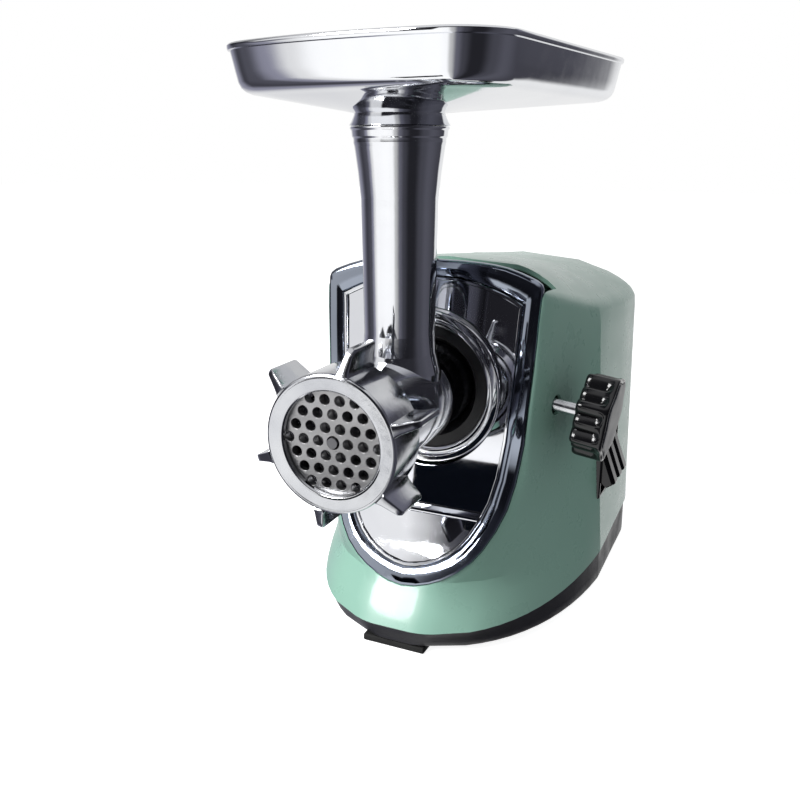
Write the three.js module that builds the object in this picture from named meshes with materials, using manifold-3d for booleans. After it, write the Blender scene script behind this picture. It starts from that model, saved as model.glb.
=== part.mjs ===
// Electric meat grinder: motor housing, removable grinding head, screw-on ring and lift-off tray.
// Millimetres, +Z up. Every length along Y below is counted backwards from the front of the ring nut,
// and the finished group is moved forward by half the depth at the end.
import * as THREE from "three";
import Module from "manifold-3d";

const wasm = await Module();
wasm.setup();

// ---------- overall sizes ----------
const fitGap = 0.3; // clearance between pieces that touch or slide
const runGap = 0.5; // clearance round pieces that turn
const footHeight = 5; // the base stands this far off the table
const bodyWidth = 190; // housing across the rear corners
const bodyTop = 239; // crown of the housing above the table
const bodyRear = 322; // rear wall, behind the front of the ring
const wall = 3; // housing wall thickness
const axisHeight = 160; // axis of the barrel above the table

// ---------- grinding head ----------
const plateRadius = 31;
const plateThickness = 5;
const plateFront = 4.3; // front face of the plate behind the front of the ring
const boreRadius = 25.5; // barrel bore that holds the auger
const barrelRadius = 28.5;
const ringRadius = 36.8;
const ringDepth = 30;
const ringOpening = 27.5;
const ringLip = 4;
const lugRadius = 50;
const lugRoot = 6; // thickness of a lug where it leaves the ring
const lugTip = 3.4;
const lugCount = 6;
const lugTurn = 18.5; // degrees, first lug above the right-hand side
const tubeY = 84; // feed tube axis
const tubeRadius = 20;
const tubeTop = 313;
const spigotRadius = 27;
const spigotFront = 126;
const spigotRear = 160;

// ---------- tray ----------
const trayRim = 354;
const trayFloor = 329; // underside of the floor next to the walls
const trayFall = 9; // the floor sinks this far on its way to the spout
const trayLeft = 86.5; // all four from the feed tube axis to the rim
const trayRight = 79.5;
const trayFront = 50;
const trayBack = 150;
const trayBow = 12; // bulge of the front edge at its middle
const trayCorner = 26;
const traySheet = 1.3;
const trayTurn = -6; // degrees, the tray sits slightly turned on its spout

// ---------- front panel ----------
const panelHalfWidth = 70; // frame outline at its upper corners
const panelTop = 238;
const panelBottom = 41;
const frameBand = 11;
const frameSink = 4; // depth of the frame piece let into the shell
const ledgeHeight = 86; // step across the mirror panel
const collarRadius = 49;

// ---------- lock screw and switch ----------
const screwY = 153;
const screwTilt = 8; // degrees, the screw points at the barrel axis from a little below
const screwRadius = 4;
const knobInner = bodyWidth / 2 - 3.5; // side of the knob that faces the housing, from the barrel axis
const knobThickness = 20;
const knobRadius = 26.8;
const knobLobes = 7;
const knobScoop = 3; // depth of the hollows between the lobes
const switchY = 236;
const switchZ = 90;
const switchLength = 54;
const switchHeight = 44;

// ---------- drive ----------
const outTeeth = 44;
const outModule = 2;
const idlerSmallTeeth = 12;
const idlerLargeTeeth = 48;
const inModule = 1.25;
const motorTeeth = 12;
const gearPlay = 0.12; // backlash as a share of the module
const idlerDrop = outModule * (outTeeth + idlerSmallTeeth) / 2;
const motorDrop = inModule * (idlerLargeTeeth + motorTeeth) / 2;
const idlerZ = axisHeight - idlerDrop;
const motorZ = idlerZ - motorDrop;
const gearFront = 178;
const gearWidth = 12;
const wheelFront = gearFront + gearWidth + 2;
const wheelWidth = 8;
const shaftRadius = 5;
const motorFront = 218;
const motorLength = 46;
const rotorRadius = 21;
const statorHalf = 38;
const bracketRear = 296;

const depthShift = bodyRear / 2;
const DEG = Math.PI / 180;

// ---------- helpers ----------
function solid(geometry) {
  const flat = geometry.index ? geometry.toNonIndexed() : geometry;
  const points = flat.getAttribute("position").array;
  const seen = new Map();
  const verts = [];
  const tris = [];
  for (let i = 0; i < points.length; i += 3) {
    const key = [0, 1, 2].map((k) => Math.round(points[i + k] * 1e4)).join("_");
    if (!seen.has(key)) {
      seen.set(key, verts.length / 3);
      verts.push(points[i], points[i + 1], points[i + 2]);
    }
    tris.push(seen.get(key));
  }
  const kept = [];
  for (let i = 0; i < tris.length; i += 3) {
    const [a, b, c] = tris.slice(i, i + 3);
    if (a !== b && b !== c && a !== c) kept.push(a, b, c);
  }
  const build = (list) => new wasm.Manifold(new wasm.Mesh({
    numProp: 3,
    vertProperties: new Float32Array(verts),
    triVerts: new Uint32Array(list),
  }));
  const made = build(kept);
  if (made.volume() >= 0) return made;
  const turned = [];
  for (let i = 0; i < kept.length; i += 3) turned.push(kept[i], kept[i + 2], kept[i + 1]);
  return build(turned);
}

const join = (...parts) => parts.reduce((a, b) => a.add(b));
const cut = (first, ...parts) => parts.reduce((a, b) => a.subtract(b), first);
const meet = (a, b) => a.intersect(b);

function box(x0, x1, y0, y1, z0, z1) {
  const g = new THREE.BoxGeometry(x1 - x0, y1 - y0, z1 - z0);
  return solid(g.translate((x0 + x1) / 2, (y0 + y1) / 2, (z0 + z1) / 2));
}

// A turned solid; the profile is [radius, distance] pairs, closed on itself unless both ends are on the axis.
function turned(profile, segments) {
  const list = profile.map(([r, d]) => new THREE.Vector2(r, d));
  const last = profile.length - 1;
  if (profile[0][0] > 0 || profile[last][0] > 0) list.push(list[0].clone());
  return new THREE.LatheGeometry(list, segments);
}
const turnedY = (profile, x = 0, z = axisHeight, n = 36) =>
  solid(turned(profile, n).translate(x, 0, z));
const turnedZ = (profile, x = 0, y = tubeY, n = 36) =>
  solid(turned(profile, n).rotateX(Math.PI / 2).translate(x, y, 0));
// The lock screw's axis starts on the barrel axis and runs out to the right, sloping down.
const onScrew = (g) => g.rotateY(screwTilt * DEG).translate(0, screwY, axisHeight);
const turnedScrew = (profile, n = 20) => solid(onScrew(turned(profile, n).rotateZ(-Math.PI / 2)));
const rod = (r, a, b) => [[0, a], [r, a], [r, b], [0, b]];
const pipe = (r0, r1, a, b) => [[r0, a], [r1, a], [r1, b], [r0, b]];

// A prism along Y whose outline is given as [x, z] pairs.
function prismY(outline, y0, y1, holes = []) {
  const shape = new THREE.Shape(outline.map(([x, z]) => new THREE.Vector2(x, z)));
  for (const h of holes) {
    const path = new THREE.Path();
    path.absarc(h.x, h.z, h.r, 0, Math.PI * 2, true);
    shape.holes.push(path);
  }
  const g = new THREE.ExtrudeGeometry(shape, { depth: y1 - y0, bevelEnabled: false, curveSegments: 4 });
  return solid(g.rotateX(Math.PI / 2).translate(0, y1, 0));
}

// A prism along X whose outline is given as [y, z] pairs.
function prismX(outline, x0, x1, place = (g) => g) {
  const shape = new THREE.Shape(outline.map(([y, z]) => new THREE.Vector2(y, z)));
  const g = new THREE.ExtrudeGeometry(shape, { depth: x1 - x0, bevelEnabled: false });
  return solid(place(g.rotateX(Math.PI / 2).rotateZ(Math.PI / 2).translate(x0, 0, 0)));
}

// A closed solid through rings of equal point count; each ring is a list of [x, y, z].
function loft(rings) {
  const n = rings[0].length;
  const pos = [];
  const tri = (a, b, c) => pos.push(...a, ...b, ...c);
  for (let k = 0; k + 1 < rings.length; k++)
    for (let i = 0; i < n; i++) {
      const j = (i + 1) % n;
      tri(rings[k][i], rings[k][j], rings[k + 1][j]);
      tri(rings[k][i], rings[k + 1][j], rings[k + 1][i]);
    }
  const centre = (ring) => [0, 1, 2].map((k) => ring.reduce((s, p) => s + p[k], 0) / n);
  const first = centre(rings[0]);
  const end = centre(rings[rings.length - 1]);
  for (let i = 0; i < n; i++) {
    const j = (i + 1) % n;
    tri(rings[0][j], rings[0][i], first);
    tri(rings[rings.length - 1][i], rings[rings.length - 1][j], end);
  }
  const g = new THREE.BufferGeometry();
  g.setAttribute("position", new THREE.Float32BufferAttribute(pos, 3));
  return solid(g);
}

// Straight-line reading of a table of [input, value] pairs.
function along(table, t) {
  if (t <= table[0][0]) return table[0][1];
  for (let i = 1; i < table.length; i++) {
    const [t0, v0] = table[i - 1];
    const [t1, v1] = table[i];
    if (t <= t1) return v0 + (v1 - v0) * (t - t0) / (t1 - t0);
  }
  return table[table.length - 1][1];
}

const group = new THREE.Group();
group.name = "electric_meat_grinder";
function piece(name, body, colour, roughness, metalness) {
  const m = body.getMesh();
  const g = new THREE.BufferGeometry();
  g.setAttribute("position", new THREE.Float32BufferAttribute(Array.from(m.vertProperties), 3));
  g.setIndex(Array.from(m.triVerts));
  g.translate(0, -depthShift, 0);
  const flat = g.toNonIndexed();
  flat.computeVertexNormals();
  const material = new THREE.MeshStandardMaterial({ color: colour, roughness, metalness });
  const mesh = new THREE.Mesh(flat, material);
  mesh.name = name;
  group.add(mesh);
}
const green = 0x9cc4ab;
const black = 0x121318;
const dark = 0x23242a;
const chrome = 0xd7dade;
const steel = 0x9b9ea2;
const copper = 0xb56a3a;
const plastic = 0xdcd8cc;

// ---------- housing outline ----------
// Front surface of the housing: distance back at each height.
const frontTable = [
  [footHeight, 77.5], [18, 71], [30, 78], [41, 86], [55, 92.5], [70, 100],
  [90, 109], [105, 113.5], [120, 116.5], [160, 121], [bodyTop + 8, 131],
];
// Half width of the flat front at each height.
const flatTable = [
  [footHeight, 14], [18, 20], [30, 22], [45, 24], [55, 37], [70, 51], [90, 60], [110, 66],
  [135, 67], [160, 68.5], [bodyTop, 72.5],
];
const creaseY = 0.667 * bodyRear;
function section(z, inset = 0, frontInset = inset) {
  const front = along(frontTable, z) + frontInset;
  const flat = along(flatTable, z);
  const half = bodyWidth / 2;
  const low = Math.min(1, Math.max(0, (z - 18) / 110));
  const ease = low * low * (3 - 2 * low);
  const creaseX = half + 1.5 - (z - 18) * 0.06;
  const bendX = (half - 9) * (1 - ease) + (flat + creaseX) / 2 * ease;
  const bendY = (front + 22) * (1 - ease) + (front + creaseY) / 2 * ease;
  const side = [];
  const steps = 6;
  for (let i = 0; i <= steps; i++) {
    const t = i / steps;
    const a = (1 - t) * (1 - t);
    const b = 2 * t * (1 - t);
    const c = t * t;
    side.push([a * flat + b * bendX + c * creaseX, a * front + b * bendY + c * creaseY]);
  }
  side.push([half + 1 - (z - 18) * 0.008, bodyRear - 30]);
  side.push([half - 1, bodyRear - 18]);
  side.push([half - 6, bodyRear - 6]);
  side.push([half - 18, bodyRear]);
  const moved = side.map(([x, y], i) => {
    if (i === 0) return [x - inset * 0.4, y];
    const p = side[i - 1];
    const q = side[Math.min(i + 1, side.length - 1)];
    const length = Math.hypot(q[0] - p[0], q[1] - p[1]);
    const nx = (q[1] - p[1]) / length;
    const ny = -(q[0] - p[0]) / length;
    if (i === side.length - 1) return [x - inset * 0.4, y - inset];
    return [x - nx * inset, Math.max(y - ny * inset, front)];
  });
  const right = moved.map(([x, y]) => [x, y, z]);
  const left = moved.map(([x, y]) => [-x, y, z]).reverse();
  return [...right, ...left];
}
function outlineBody(z0, z1, inset, frontInset) {
  const levels = [z0];
  for (const z of [18, 30, 41, 55, 70, 90, 110, 128, 160])
    if (z > z0 + 1 && z < z1 - 1) levels.push(z);
  levels.push(z1);
  return loft(levels.map((z) => section(z, inset, frontInset)));
}
// The crowned top: height at a place across and along.
function topHeight(x, y, drop) {
  const t = Math.min(1.1, Math.max(-0.1, (y - 130) / (bodyRear - 142)));
  const middle = bodyTop - 15 * t - drop;
  const edge = along([[-0.1, 222], [0, 221], [0.45, 202], [1, 197], [1.1, 196]], t)
    + bodyTop - 239 - drop;
  const half = along([[-0.1, 68], [0, 71], [0.45, 86], [1, bodyWidth / 2]], t);
  const power = 4.4 - 1.9 * Math.min(1, Math.max(0, t * 1.6));
  const u = Math.min(1.25, Math.abs(x) / half);
  return middle - (middle - edge) * Math.pow(u, power);
}
function underTop(drop) {
  const xs = [];
  for (let i = -9; i <= 9; i++) xs.push(Math.sign(i) * 104 * Math.pow(Math.abs(i) / 9, 0.8));
  const ys = [60, 130, 150, 180, 215, 260, bodyRear + 8];
  const rings = ys.map((y) => {
    const ring = xs.map((x) => [x, y, topHeight(x, y, drop)]);
    ring.push([104, y, -5], [-104, y, -5]);
    return ring;
  });
  return loft(rings);
}
// The joint between shell and base rises slightly to the rear.
const seamFront = 19;
const seamAt = (y) => seamFront + 0.06 * (y - 70);
function belowSeam(offset) {
  const y0 = 40;
  const y1 = bodyRear + 20;
  return prismX([[y0, -20], [y1, -20], [y1, seamAt(y1) + offset], [y0, seamAt(y0) + offset]], -130, 130);
}

// ---------- panel outlines ----------
function panelOutline(shrink) {
  const points = [];
  const top = panelTop - shrink;
  const width = (z) => along([
    [panelBottom, 0], [42, 9], [44.5, 18], [48, 26], [53, 34], [60, 42], [68, 48], [79, 54],
    [92, 59], [108, 62.5], [132, 65.5], [158, 67], [194, 69], [220, panelHalfWidth], [224, panelHalfWidth],
  ], z) * panelHalfWidth / 70;
  const ladder = [42, 44.5, 48, 53, 60, 68, 79, 92, 108, 132, 158, 194, 220];
  for (const z of ladder) points.push([width(z), z]);
  points.push([panelHalfWidth - 1, 224], [panelHalfWidth - 4.5, 228.5], [panelHalfWidth - 10, 231.5]);
  points.push([panelHalfWidth - 17, 234], [panelHalfWidth - 30, 236.8], [22, panelTop]);
  const deep = shrink > frameBand / 2;
  const inner = [];
  for (let i = 0; i < points.length; i++) {
    const p = points[Math.max(0, i - 1)];
    const q = points[Math.min(points.length - 1, i + 1)];
    const length = Math.hypot(q[0] - p[0], q[1] - p[1]);
    const x = points[i][0] - shrink * (q[1] - p[1]) / length;
    const z = points[i][1] + shrink * (q[0] - p[0]) / length;
    if (x > 3 && (z < top - 20 || !deep)) inner.push([x, z]);
  }
  if (!deep) return mirrorOutline([[0, panelBottom + shrink], ...inner, [0, top + 0.3]]);
  inner.push([panelHalfWidth - shrink, top - 12.5]);
  inner.push([panelHalfWidth - shrink - 12, top - 6.5]);
  inner.push([panelHalfWidth - shrink - 26, top - 2.2], [18, top + 0.6], [0, top + 1]);
  return mirrorOutline([[0, panelBottom + shrink], ...inner]);
}
function mirrorOutline(half) {
  const inside = half.filter(([x]) => x > 0.01);
  const first = half[0];
  const last = half[half.length - 1];
  const left = inside.map(([x, z]) => [-x, z]).reverse();
  return [first, ...inside, last, ...left];
}
// A sheet that follows the front surface between two depths behind it.
function frontSheet(near, far, z0 = 20, z1 = bodyTop + 8) {
  const heights = [z0, 30, 41, 55, 70, 90, 105, 120, 160, z1].filter((z) => z >= z0 && z <= z1);
  const face = heights.map((z) => [along(frontTable, z) + near, z]);
  const back = heights.map((z) => [along(frontTable, z) + far, z]).reverse();
  return prismX([...face, ...back], -90, 90);
}

// ---------- housing shell ----------
const outer = meet(outlineBody(footHeight, bodyTop + 8, 0, 0), underTop(0));
const frontWall = frameSink + wall + 5;
const hollow = meet(outlineBody(-2, bodyTop + 8, wall, frontWall), underTop(wall));
const trimBand = 2;
const mirrorSheet = 2.6;
const panelLean = (z) => along(frontTable, 160) + 1.2 + 0.125 * (z - axisHeight);
const prismOf = (shrink) => prismY(panelOutline(shrink), 40, 170);
const framePocket = meet(prismOf(0), frontSheet(-30, frameSink + fitGap));
const pocketFoot = ledgeHeight - 3.2 - fitGap;
const pocketBack = (z) => panelLean(z) + mirrorSheet + fitGap;
const mirrorPocket = meet(prismOf(frameBand + trimBand), prismX([
  [40, pocketFoot], [pocketBack(ledgeHeight), pocketFoot], [pocketBack(ledgeHeight), ledgeHeight],
  [pocketBack(250), 250], [40, 250],
], -90, 90));
const pocket = join(framePocket, mirrorPocket);
const collarHole = turnedY(rod(collarRadius + fitGap, 90, 160), 0, axisHeight, 48);
const screwHole = turnedScrew(rod(screwRadius + 2.5, 55, 100));
const switchX = along([[215, bodyWidth / 2 - 3], [300, bodyWidth / 2]], switchY);
const switchSlot = box(
  switchX - 25, switchX + 30,
  switchY - switchLength / 2, switchY + switchLength / 2,
  switchZ - switchHeight / 2, switchZ + switchHeight / 2,
);
const glandY = bodyRear;
const glandZ = 60;
const glandHole = turnedY(rod(7, glandY - 20, glandY + 10), -45, glandZ, 24);
let shell = cut(outer, hollow, belowSeam(0), pocket, collarHole, screwHole, switchSlot, glandHole);
const ventCount = 9;
for (let i = 0; i < ventCount; i++) {
  const x = (i - (ventCount - 1) / 2) * 9;
  shell = cut(shell, box(x - 2, x + 2, bodyRear - 10, bodyRear + 10, 92, 132));
}
piece("housing_shell", shell, green, 0.38, 0.0);

// ---------- base and feet ----------
const baseOuter = meet(outlineBody(footHeight, 60, 1.2, 1.2), belowSeam(-fitGap));
const baseHollow = outlineBody(footHeight + wall, 70, 1.2 + wall, 1.2 + wall);
const feet = [
  { name: "foot_front", x: -3, y: 86.5, halfX: 21, halfY: 6.5 },
  { name: "foot_rear_left", x: -62, y: 290, halfX: 14, halfY: 10 },
  { name: "foot_rear_right", x: 62, y: 290, halfX: 14, halfY: 10 },
];
piece("base_pan", cut(baseOuter, baseHollow), dark, 0.6, 0.0);
for (const f of feet)
  piece(f.name, box(f.x - f.halfX, f.x + f.halfX, f.y - f.halfY, f.y + f.halfY,
    0, footHeight - fitGap), black, 0.85, 0.0);

// ---------- front frame, trim and mirror panels ----------
const frame = cut(meet(prismOf(fitGap), frontSheet(-1.2, frameSink)), prismOf(frameBand));
piece("front_frame", frame, black, 0.12, 0.1);
const trim = cut(
  meet(prismOf(frameBand + fitGap), frontSheet(-0.6, frameSink)),
  prismOf(frameBand + trimBand),
);
piece("frame_trim", trim, chrome, 0.1, 1.0);
const mirrorOuter = prismOf(frameBand + trimBand + fitGap);
const collarClear = turnedY(rod(collarRadius + fitGap, 60, 170), 0, axisHeight, 48);
const upperZone = box(-90, 90, 40, 190, ledgeHeight + fitGap, 260);
const upperSheet = prismX([
  [panelLean(60), 60], [panelLean(250), 250],
  [panelLean(250) + mirrorSheet, 250], [panelLean(60) + mirrorSheet, 60],
], -90, 90);
const upperMirror = cut(meet(meet(mirrorOuter, upperZone), upperSheet), collarClear);
piece("upper_mirror", upperMirror, chrome, 0.06, 1.0);
const lowerZone = box(-90, 90, 40, 190, 20, ledgeHeight);
const lowerSheet = frontSheet(0.4, frameSink - 0.6);
const ledgeBack = panelLean(ledgeHeight) + mirrorSheet;
const ledgeBar = box(-90, 90, along(frontTable, ledgeHeight) - 1.2, ledgeBack, ledgeHeight - 3.2, ledgeHeight);
const lowerMirror = join(meet(meet(mirrorOuter, lowerZone), lowerSheet), meet(mirrorOuter, ledgeBar));
piece("lower_mirror", lowerMirror, chrome, 0.06, 1.0);

// ---------- socket ----------
const collarFront = along(frontTable, 160) - 1;
const cupFront = collarFront + 4;
const cupRadius = collarRadius - 10;
piece("socket_collar", turnedY([
  [cupRadius + fitGap, collarFront + 3], [cupRadius + 1.5, collarFront + 1.2],
  [cupRadius + 4, collarFront + 1.2], [cupRadius + 5, collarFront],
  [collarRadius - 1.2, collarFront], [collarRadius, collarFront + 1],
  [collarRadius, collarFront + 13], [cupRadius + fitGap, collarFront + 13],
], 0, axisHeight, 48), chrome, 0.08, 1.0);
const socketBore = spigotRadius + fitGap;
const cup = turnedY([
  [socketBore + 5, cupFront], [cupRadius, cupFront], [cupRadius, 168],
  [14, 168], [14, spigotRear + 3], [socketBore, spigotRear + 3],
  [socketBore, cupFront + 10],
], 0, axisHeight, 48);
const insertPocket = turnedScrew(rod(9 + fitGap, 41 - fitGap, 60), 6);
const screwPath = turnedScrew(rod(screwRadius + 0.4, 20, 60));
const insertBoss = turnedScrew(rod(13, cupRadius - 6, 52));
const bossClear = turnedY(rod(cupRadius - 0.5, 100, 170), 0, axisHeight, 48);
piece("socket_cup", cut(join(cup, cut(insertBoss, bossClear)), insertPocket, screwPath), black, 0.4, 0.0);
piece("lock_insert", cut(turnedScrew(rod(9, 41, 51), 6), screwPath), 0xb08d4a, 0.4, 0.9);

// ---------- gears ----------
function gearOutline(teeth, module, z0, phase) {
  const pitch = module * teeth / 2;
  const tip = pitch + 0.8 * module;
  const root = pitch - 1.05 * module;
  const pressure = 25 * DEG;
  const base = pitch * Math.cos(pressure);
  const involute = (a) => Math.tan(a) - a;
  const halfTooth = Math.PI / (2 * teeth) - gearPlay / teeth;
  const flank = (r) => {
    if (r <= base) return halfTooth + involute(pressure);
    return halfTooth + involute(pressure) - involute(Math.acos(base / r));
  };
  const outline = [];
  for (let i = 0; i < teeth; i++) {
    const middle = phase + i * 2 * Math.PI / teeth;
    const radii = [root, Math.max(base, pitch - 0.3 * module), tip];
    for (const r of radii) outline.push([middle - flank(r), r]);
    for (const r of radii.slice().reverse()) outline.push([middle + flank(r), r]);
  }
  return outline.map(([a, r]) => [r * Math.cos(a), z0 + r * Math.sin(a)]);
}
function gear(teeth, module, z0, phase, y0, y1, bore) {
  return cut(prismY(gearOutline(teeth, module, z0, phase), y0, y1), turnedY(rod(bore, y0 - 1, y1 + 1), 0, z0, 24));
}
// A tooth of each driving gear points at a gap of the gear it drives.
const down = -90 * DEG;
const up = 90 * DEG;
const halfPitch = (n) => Math.PI / n;
const toothed = (n, direction) => direction + halfPitch(n);

piece("output_gear", gear(outTeeth, outModule, axisHeight, toothed(outTeeth, down),
  gearFront, gearFront + gearWidth, 8 + fitGap), plastic, 0.5, 0.0);
const couplerRear = gearFront + gearWidth + 18;
const squareHalf = 6;
const coupler = cut(
  join(
    turnedY(rod(12, 140, gearFront - 1.5)),
    turnedY(rod(8, gearFront - 2, couplerRear)),
  ),
  box(-squareHalf - fitGap, squareHalf + fitGap, 130, 158,
    axisHeight - squareHalf - fitGap, axisHeight + squareHalf + fitGap),
);
piece("output_shaft", coupler, steel, 0.35, 0.9);
const idlerWheel = gear(idlerLargeTeeth, inModule, idlerZ, toothed(idlerLargeTeeth, down),
  wheelFront, wheelFront + wheelWidth, shaftRadius + runGap);
const idlerPinion = gear(idlerSmallTeeth, outModule, idlerZ, up,
  gearFront, wheelFront + 0.5, shaftRadius + runGap);
piece("idler_gear", join(idlerWheel, idlerPinion), steel, 0.4, 0.9);
const caseFront = gearFront - 6;
const caseRear = wheelFront + wheelWidth + 3;
piece("idler_shaft", turnedY(rod(shaftRadius, caseFront, caseRear + 4), 0, idlerZ, 24), steel, 0.3, 0.9);

// ---------- gearbox plates ----------
const plateOutline = [
  [-40, 62], [40, 62], [52, 96], [54, 170], [40, 205], [-40, 205], [-54, 170], [-52, 96],
];
const frontCase = cut(
  prismY(plateOutline, caseFront, caseFront + 3),
  turnedY(rod(12 + runGap, caseFront - 1, caseFront + 5)),
  turnedY(rod(shaftRadius + fitGap, caseFront - 1, caseFront + 5), 0, idlerZ, 24),
);
piece("gearbox_front", frontCase, steel, 0.55, 0.8);
const rearCase = cut(
  prismY(plateOutline, caseRear, caseRear + 4),
  turnedY(rod(8 + runGap, caseRear - 1, caseRear + 6)),
  turnedY(rod(shaftRadius + fitGap, caseRear - 1, caseRear + 6), 0, idlerZ, 24),
  turnedY(rod(9, caseRear - 1, caseRear + 6), 0, motorZ, 24),
);
const posts = [[-44, 90], [44, 90], [-38, 196], [38, 196]].map(([x, z]) =>
  turnedY(rod(4, caseFront + 3 + fitGap, caseRear + 1), x, z, 12));
piece("gearbox_rear", join(rearCase, ...posts), steel, 0.55, 0.8);

// ---------- motor ----------
const motorRear = motorFront + motorLength;
const statorOutline = [
  [-statorHalf + 9, motorZ - statorHalf], [statorHalf - 9, motorZ - statorHalf],
  [statorHalf, motorZ - statorHalf + 9], [statorHalf, motorZ + statorHalf - 9],
  [statorHalf - 9, motorZ + statorHalf], [-statorHalf + 9, motorZ + statorHalf],
  [-statorHalf, motorZ + statorHalf - 9], [-statorHalf, motorZ - statorHalf + 9],
];
const poleSlots = [-1, 1].map((s) => join(
  box(s > 0 ? 12 : -30, s > 0 ? 30 : -12, motorFront - 1, motorRear + 1, motorZ + 14, motorZ + 26),
  box(s > 0 ? 12 : -30, s > 0 ? 30 : -12, motorFront - 1, motorRear + 1, motorZ - 26, motorZ - 14),
));
const statorBore = turnedY(rod(rotorRadius + 0.8, motorFront - 1, motorRear + 1), 0, motorZ, 40);
piece("motor_stator", cut(prismY(statorOutline, motorFront, motorRear), statorBore, ...poleSlots),
  0x6d6f74, 0.5, 0.8);
function coil(side) {
  const z0 = side > 0 ? motorZ + 15 : motorZ - 25;
  const z1 = z0 + 10;
  const loop = box(-29, 29, motorFront - 9, motorRear + 9, z0, z1);
  const inside = box(-14, 14, motorFront - 1, motorRear + 1, z0 - 1, z1 + 1);
  const core = box(-40, 40, motorFront - 0.4, motorRear + 0.4, z0 - 1, z1 + 1);
  const legs = join(
    box(-29, -13, motorFront - 2, motorRear + 2, z0, z1),
    box(13, 29, motorFront - 2, motorRear + 2, z0, z1),
  );
  const spin = turnedY(rod(rotorRadius + 2, motorFront - 20, motorRear + 20), 0, motorZ, 32);
  return cut(join(cut(loop, inside, core), legs), spin);
}
piece("field_coil_upper", coil(1), copper, 0.45, 0.6);
piece("field_coil_lower", coil(-1), copper, 0.45, 0.6);
const rotorShaftRadius = 4;
const motorShaft = turnedY(rod(rotorShaftRadius, wheelFront - 2, bracketRear + 8), 0, motorZ, 20);
piece("rotor_shaft", motorShaft, steel, 0.3, 0.9);
const rotorBore = turnedY(rod(rotorShaftRadius + fitGap, motorFront - 20, bracketRear + 20), 0, motorZ, 20);
let rotorCore = turnedY(rod(rotorRadius, motorFront + 1, motorRear - 1), 0, motorZ, 36);
const slotCount = 12;
for (let i = 0; i < slotCount; i++) {
  const a = i * 2 * Math.PI / slotCount;
  const g = new THREE.BoxGeometry(9, motorLength + 4, 3);
  g.translate(rotorRadius - 3, 0, 0).rotateY(a).translate(0, (motorFront + motorRear) / 2, motorZ);
  rotorCore = cut(rotorCore, solid(g));
}
piece("rotor_core", cut(rotorCore, rotorBore), steel, 0.5, 0.7);
piece("commutator", turnedY(pipe(rotorShaftRadius + fitGap, 10, motorRear + 4, motorRear + 18),
  0, motorZ, 24), copper, 0.3, 0.9);
let fan = turnedY(pipe(rotorShaftRadius + fitGap, 8, motorRear + 22, motorRear + 29), 0, motorZ, 24);
const bladeCount = 9;
for (let i = 0; i < bladeCount; i++) {
  const g = new THREE.BoxGeometry(21, 6, 1.6);
  g.rotateX(0.5).translate(16.5, 0, 0).rotateY(i * 2 * Math.PI / bladeCount);
  fan = join(fan, solid(g.translate(0, motorRear + 25.5, motorZ)));
}
piece("motor_fan", cut(fan, rotorBore), black, 0.5, 0.0);
const pinionBore = rotorShaftRadius + fitGap;
piece("motor_pinion", gear(motorTeeth, inModule, motorZ, up, wheelFront, wheelFront + wheelWidth, pinionBore),
  steel, 0.35, 0.9);
const brushY0 = motorRear + 6;
piece("brush_holder_left", box(-30, -10.6, brushY0, brushY0 + 9, motorZ - 5, motorZ + 5), 0x8a6a3c, 0.5, 0.6);
piece("brush_holder_right", box(10.6, 30, brushY0, brushY0 + 9, motorZ - 5, motorZ + 5), 0x8a6a3c, 0.5, 0.6);
const rearBracket = cut(
  join(
    box(-statorHalf, statorHalf, bracketRear, bracketRear + 3, motorZ - 10, motorZ + 10),
    turnedY(rod(11, bracketRear - 1, bracketRear + 7), 0, motorZ, 32),
  ),
  turnedY(rod(rotorShaftRadius + runGap, bracketRear - 3, bracketRear + 9), 0, motorZ, 20),
);
piece("motor_bracket", rearBracket, steel, 0.5, 0.8);

// ---------- grinding head ----------
const seat = plateFront + plateThickness + fitGap;
const threadRadius = ringRadius - 3.4;
const barrel = turnedY([
  [0, plateFront + 1.2], [threadRadius, plateFront + 1.2], [threadRadius, ringDepth - 1],
  [barrelRadius + 1, ringDepth + 1], [barrelRadius, ringDepth + 4], [barrelRadius, 96],
  [barrelRadius - 1.2, 103], [barrelRadius - 3, 108], [barrelRadius - 3, spigotFront - 4],
  [spigotRadius, spigotFront], [spigotRadius, spigotRear - 1], [spigotRadius - 1, spigotRear], [0, spigotRear],
]);
const tube = turnedZ([
  [0, axisHeight + 4], [tubeRadius + 3, axisHeight + 4], [tubeRadius + 3, axisHeight + barrelRadius - 6],
  [tubeRadius + 1.2, axisHeight + barrelRadius], [tubeRadius, axisHeight + 40],
  [tubeRadius + 0.6, 240], [tubeRadius + 1.2, 276], [tubeRadius + 2.6, 290], [tubeRadius + 4.4, 303],
  [tubeRadius + 4.9, 305], [tubeRadius + 4.9, 307], [tubeRadius + 5.6, 308], [tubeRadius + 5.9, 311],
  [tubeRadius + 6.6, tubeTop - 1], [tubeRadius + 6.6, tubeTop], [0, tubeTop],
]);
const tubeBore = tubeRadius - 2.8;
const mouthRadius = tubeRadius - 0.6;
const tubeHollow = turnedZ([
  [0, axisHeight], [tubeBore, axisHeight], [tubeBore, 288], [mouthRadius, 292],
  [mouthRadius, tubeTop + 5], [0, tubeTop + 5],
]);
const augerRear = 104;
const shankRadius = 9;
const barrelHollow = turnedY([
  [0, 0], [plateRadius + fitGap, 0], [plateRadius + fitGap, seat], [boreRadius, seat],
  [boreRadius, augerRear], [shankRadius + runGap, augerRear + 2], [shankRadius + runGap, 120],
  [spigotRadius - 5, 124], [spigotRadius - 5, spigotRear + 5], [0, spigotRear + 5],
]);
const notchKeys = [-1, 1].map((s) => box(s > 0 ? 29.6 : -33, s > 0 ? 33 : -29.6, 4, 8, axisHeight - 2, axisHeight + 2));
const notchGap = cut(join(...notchKeys), turnedY(rod(threadRadius - 0.9, 0, 12)));
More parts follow.
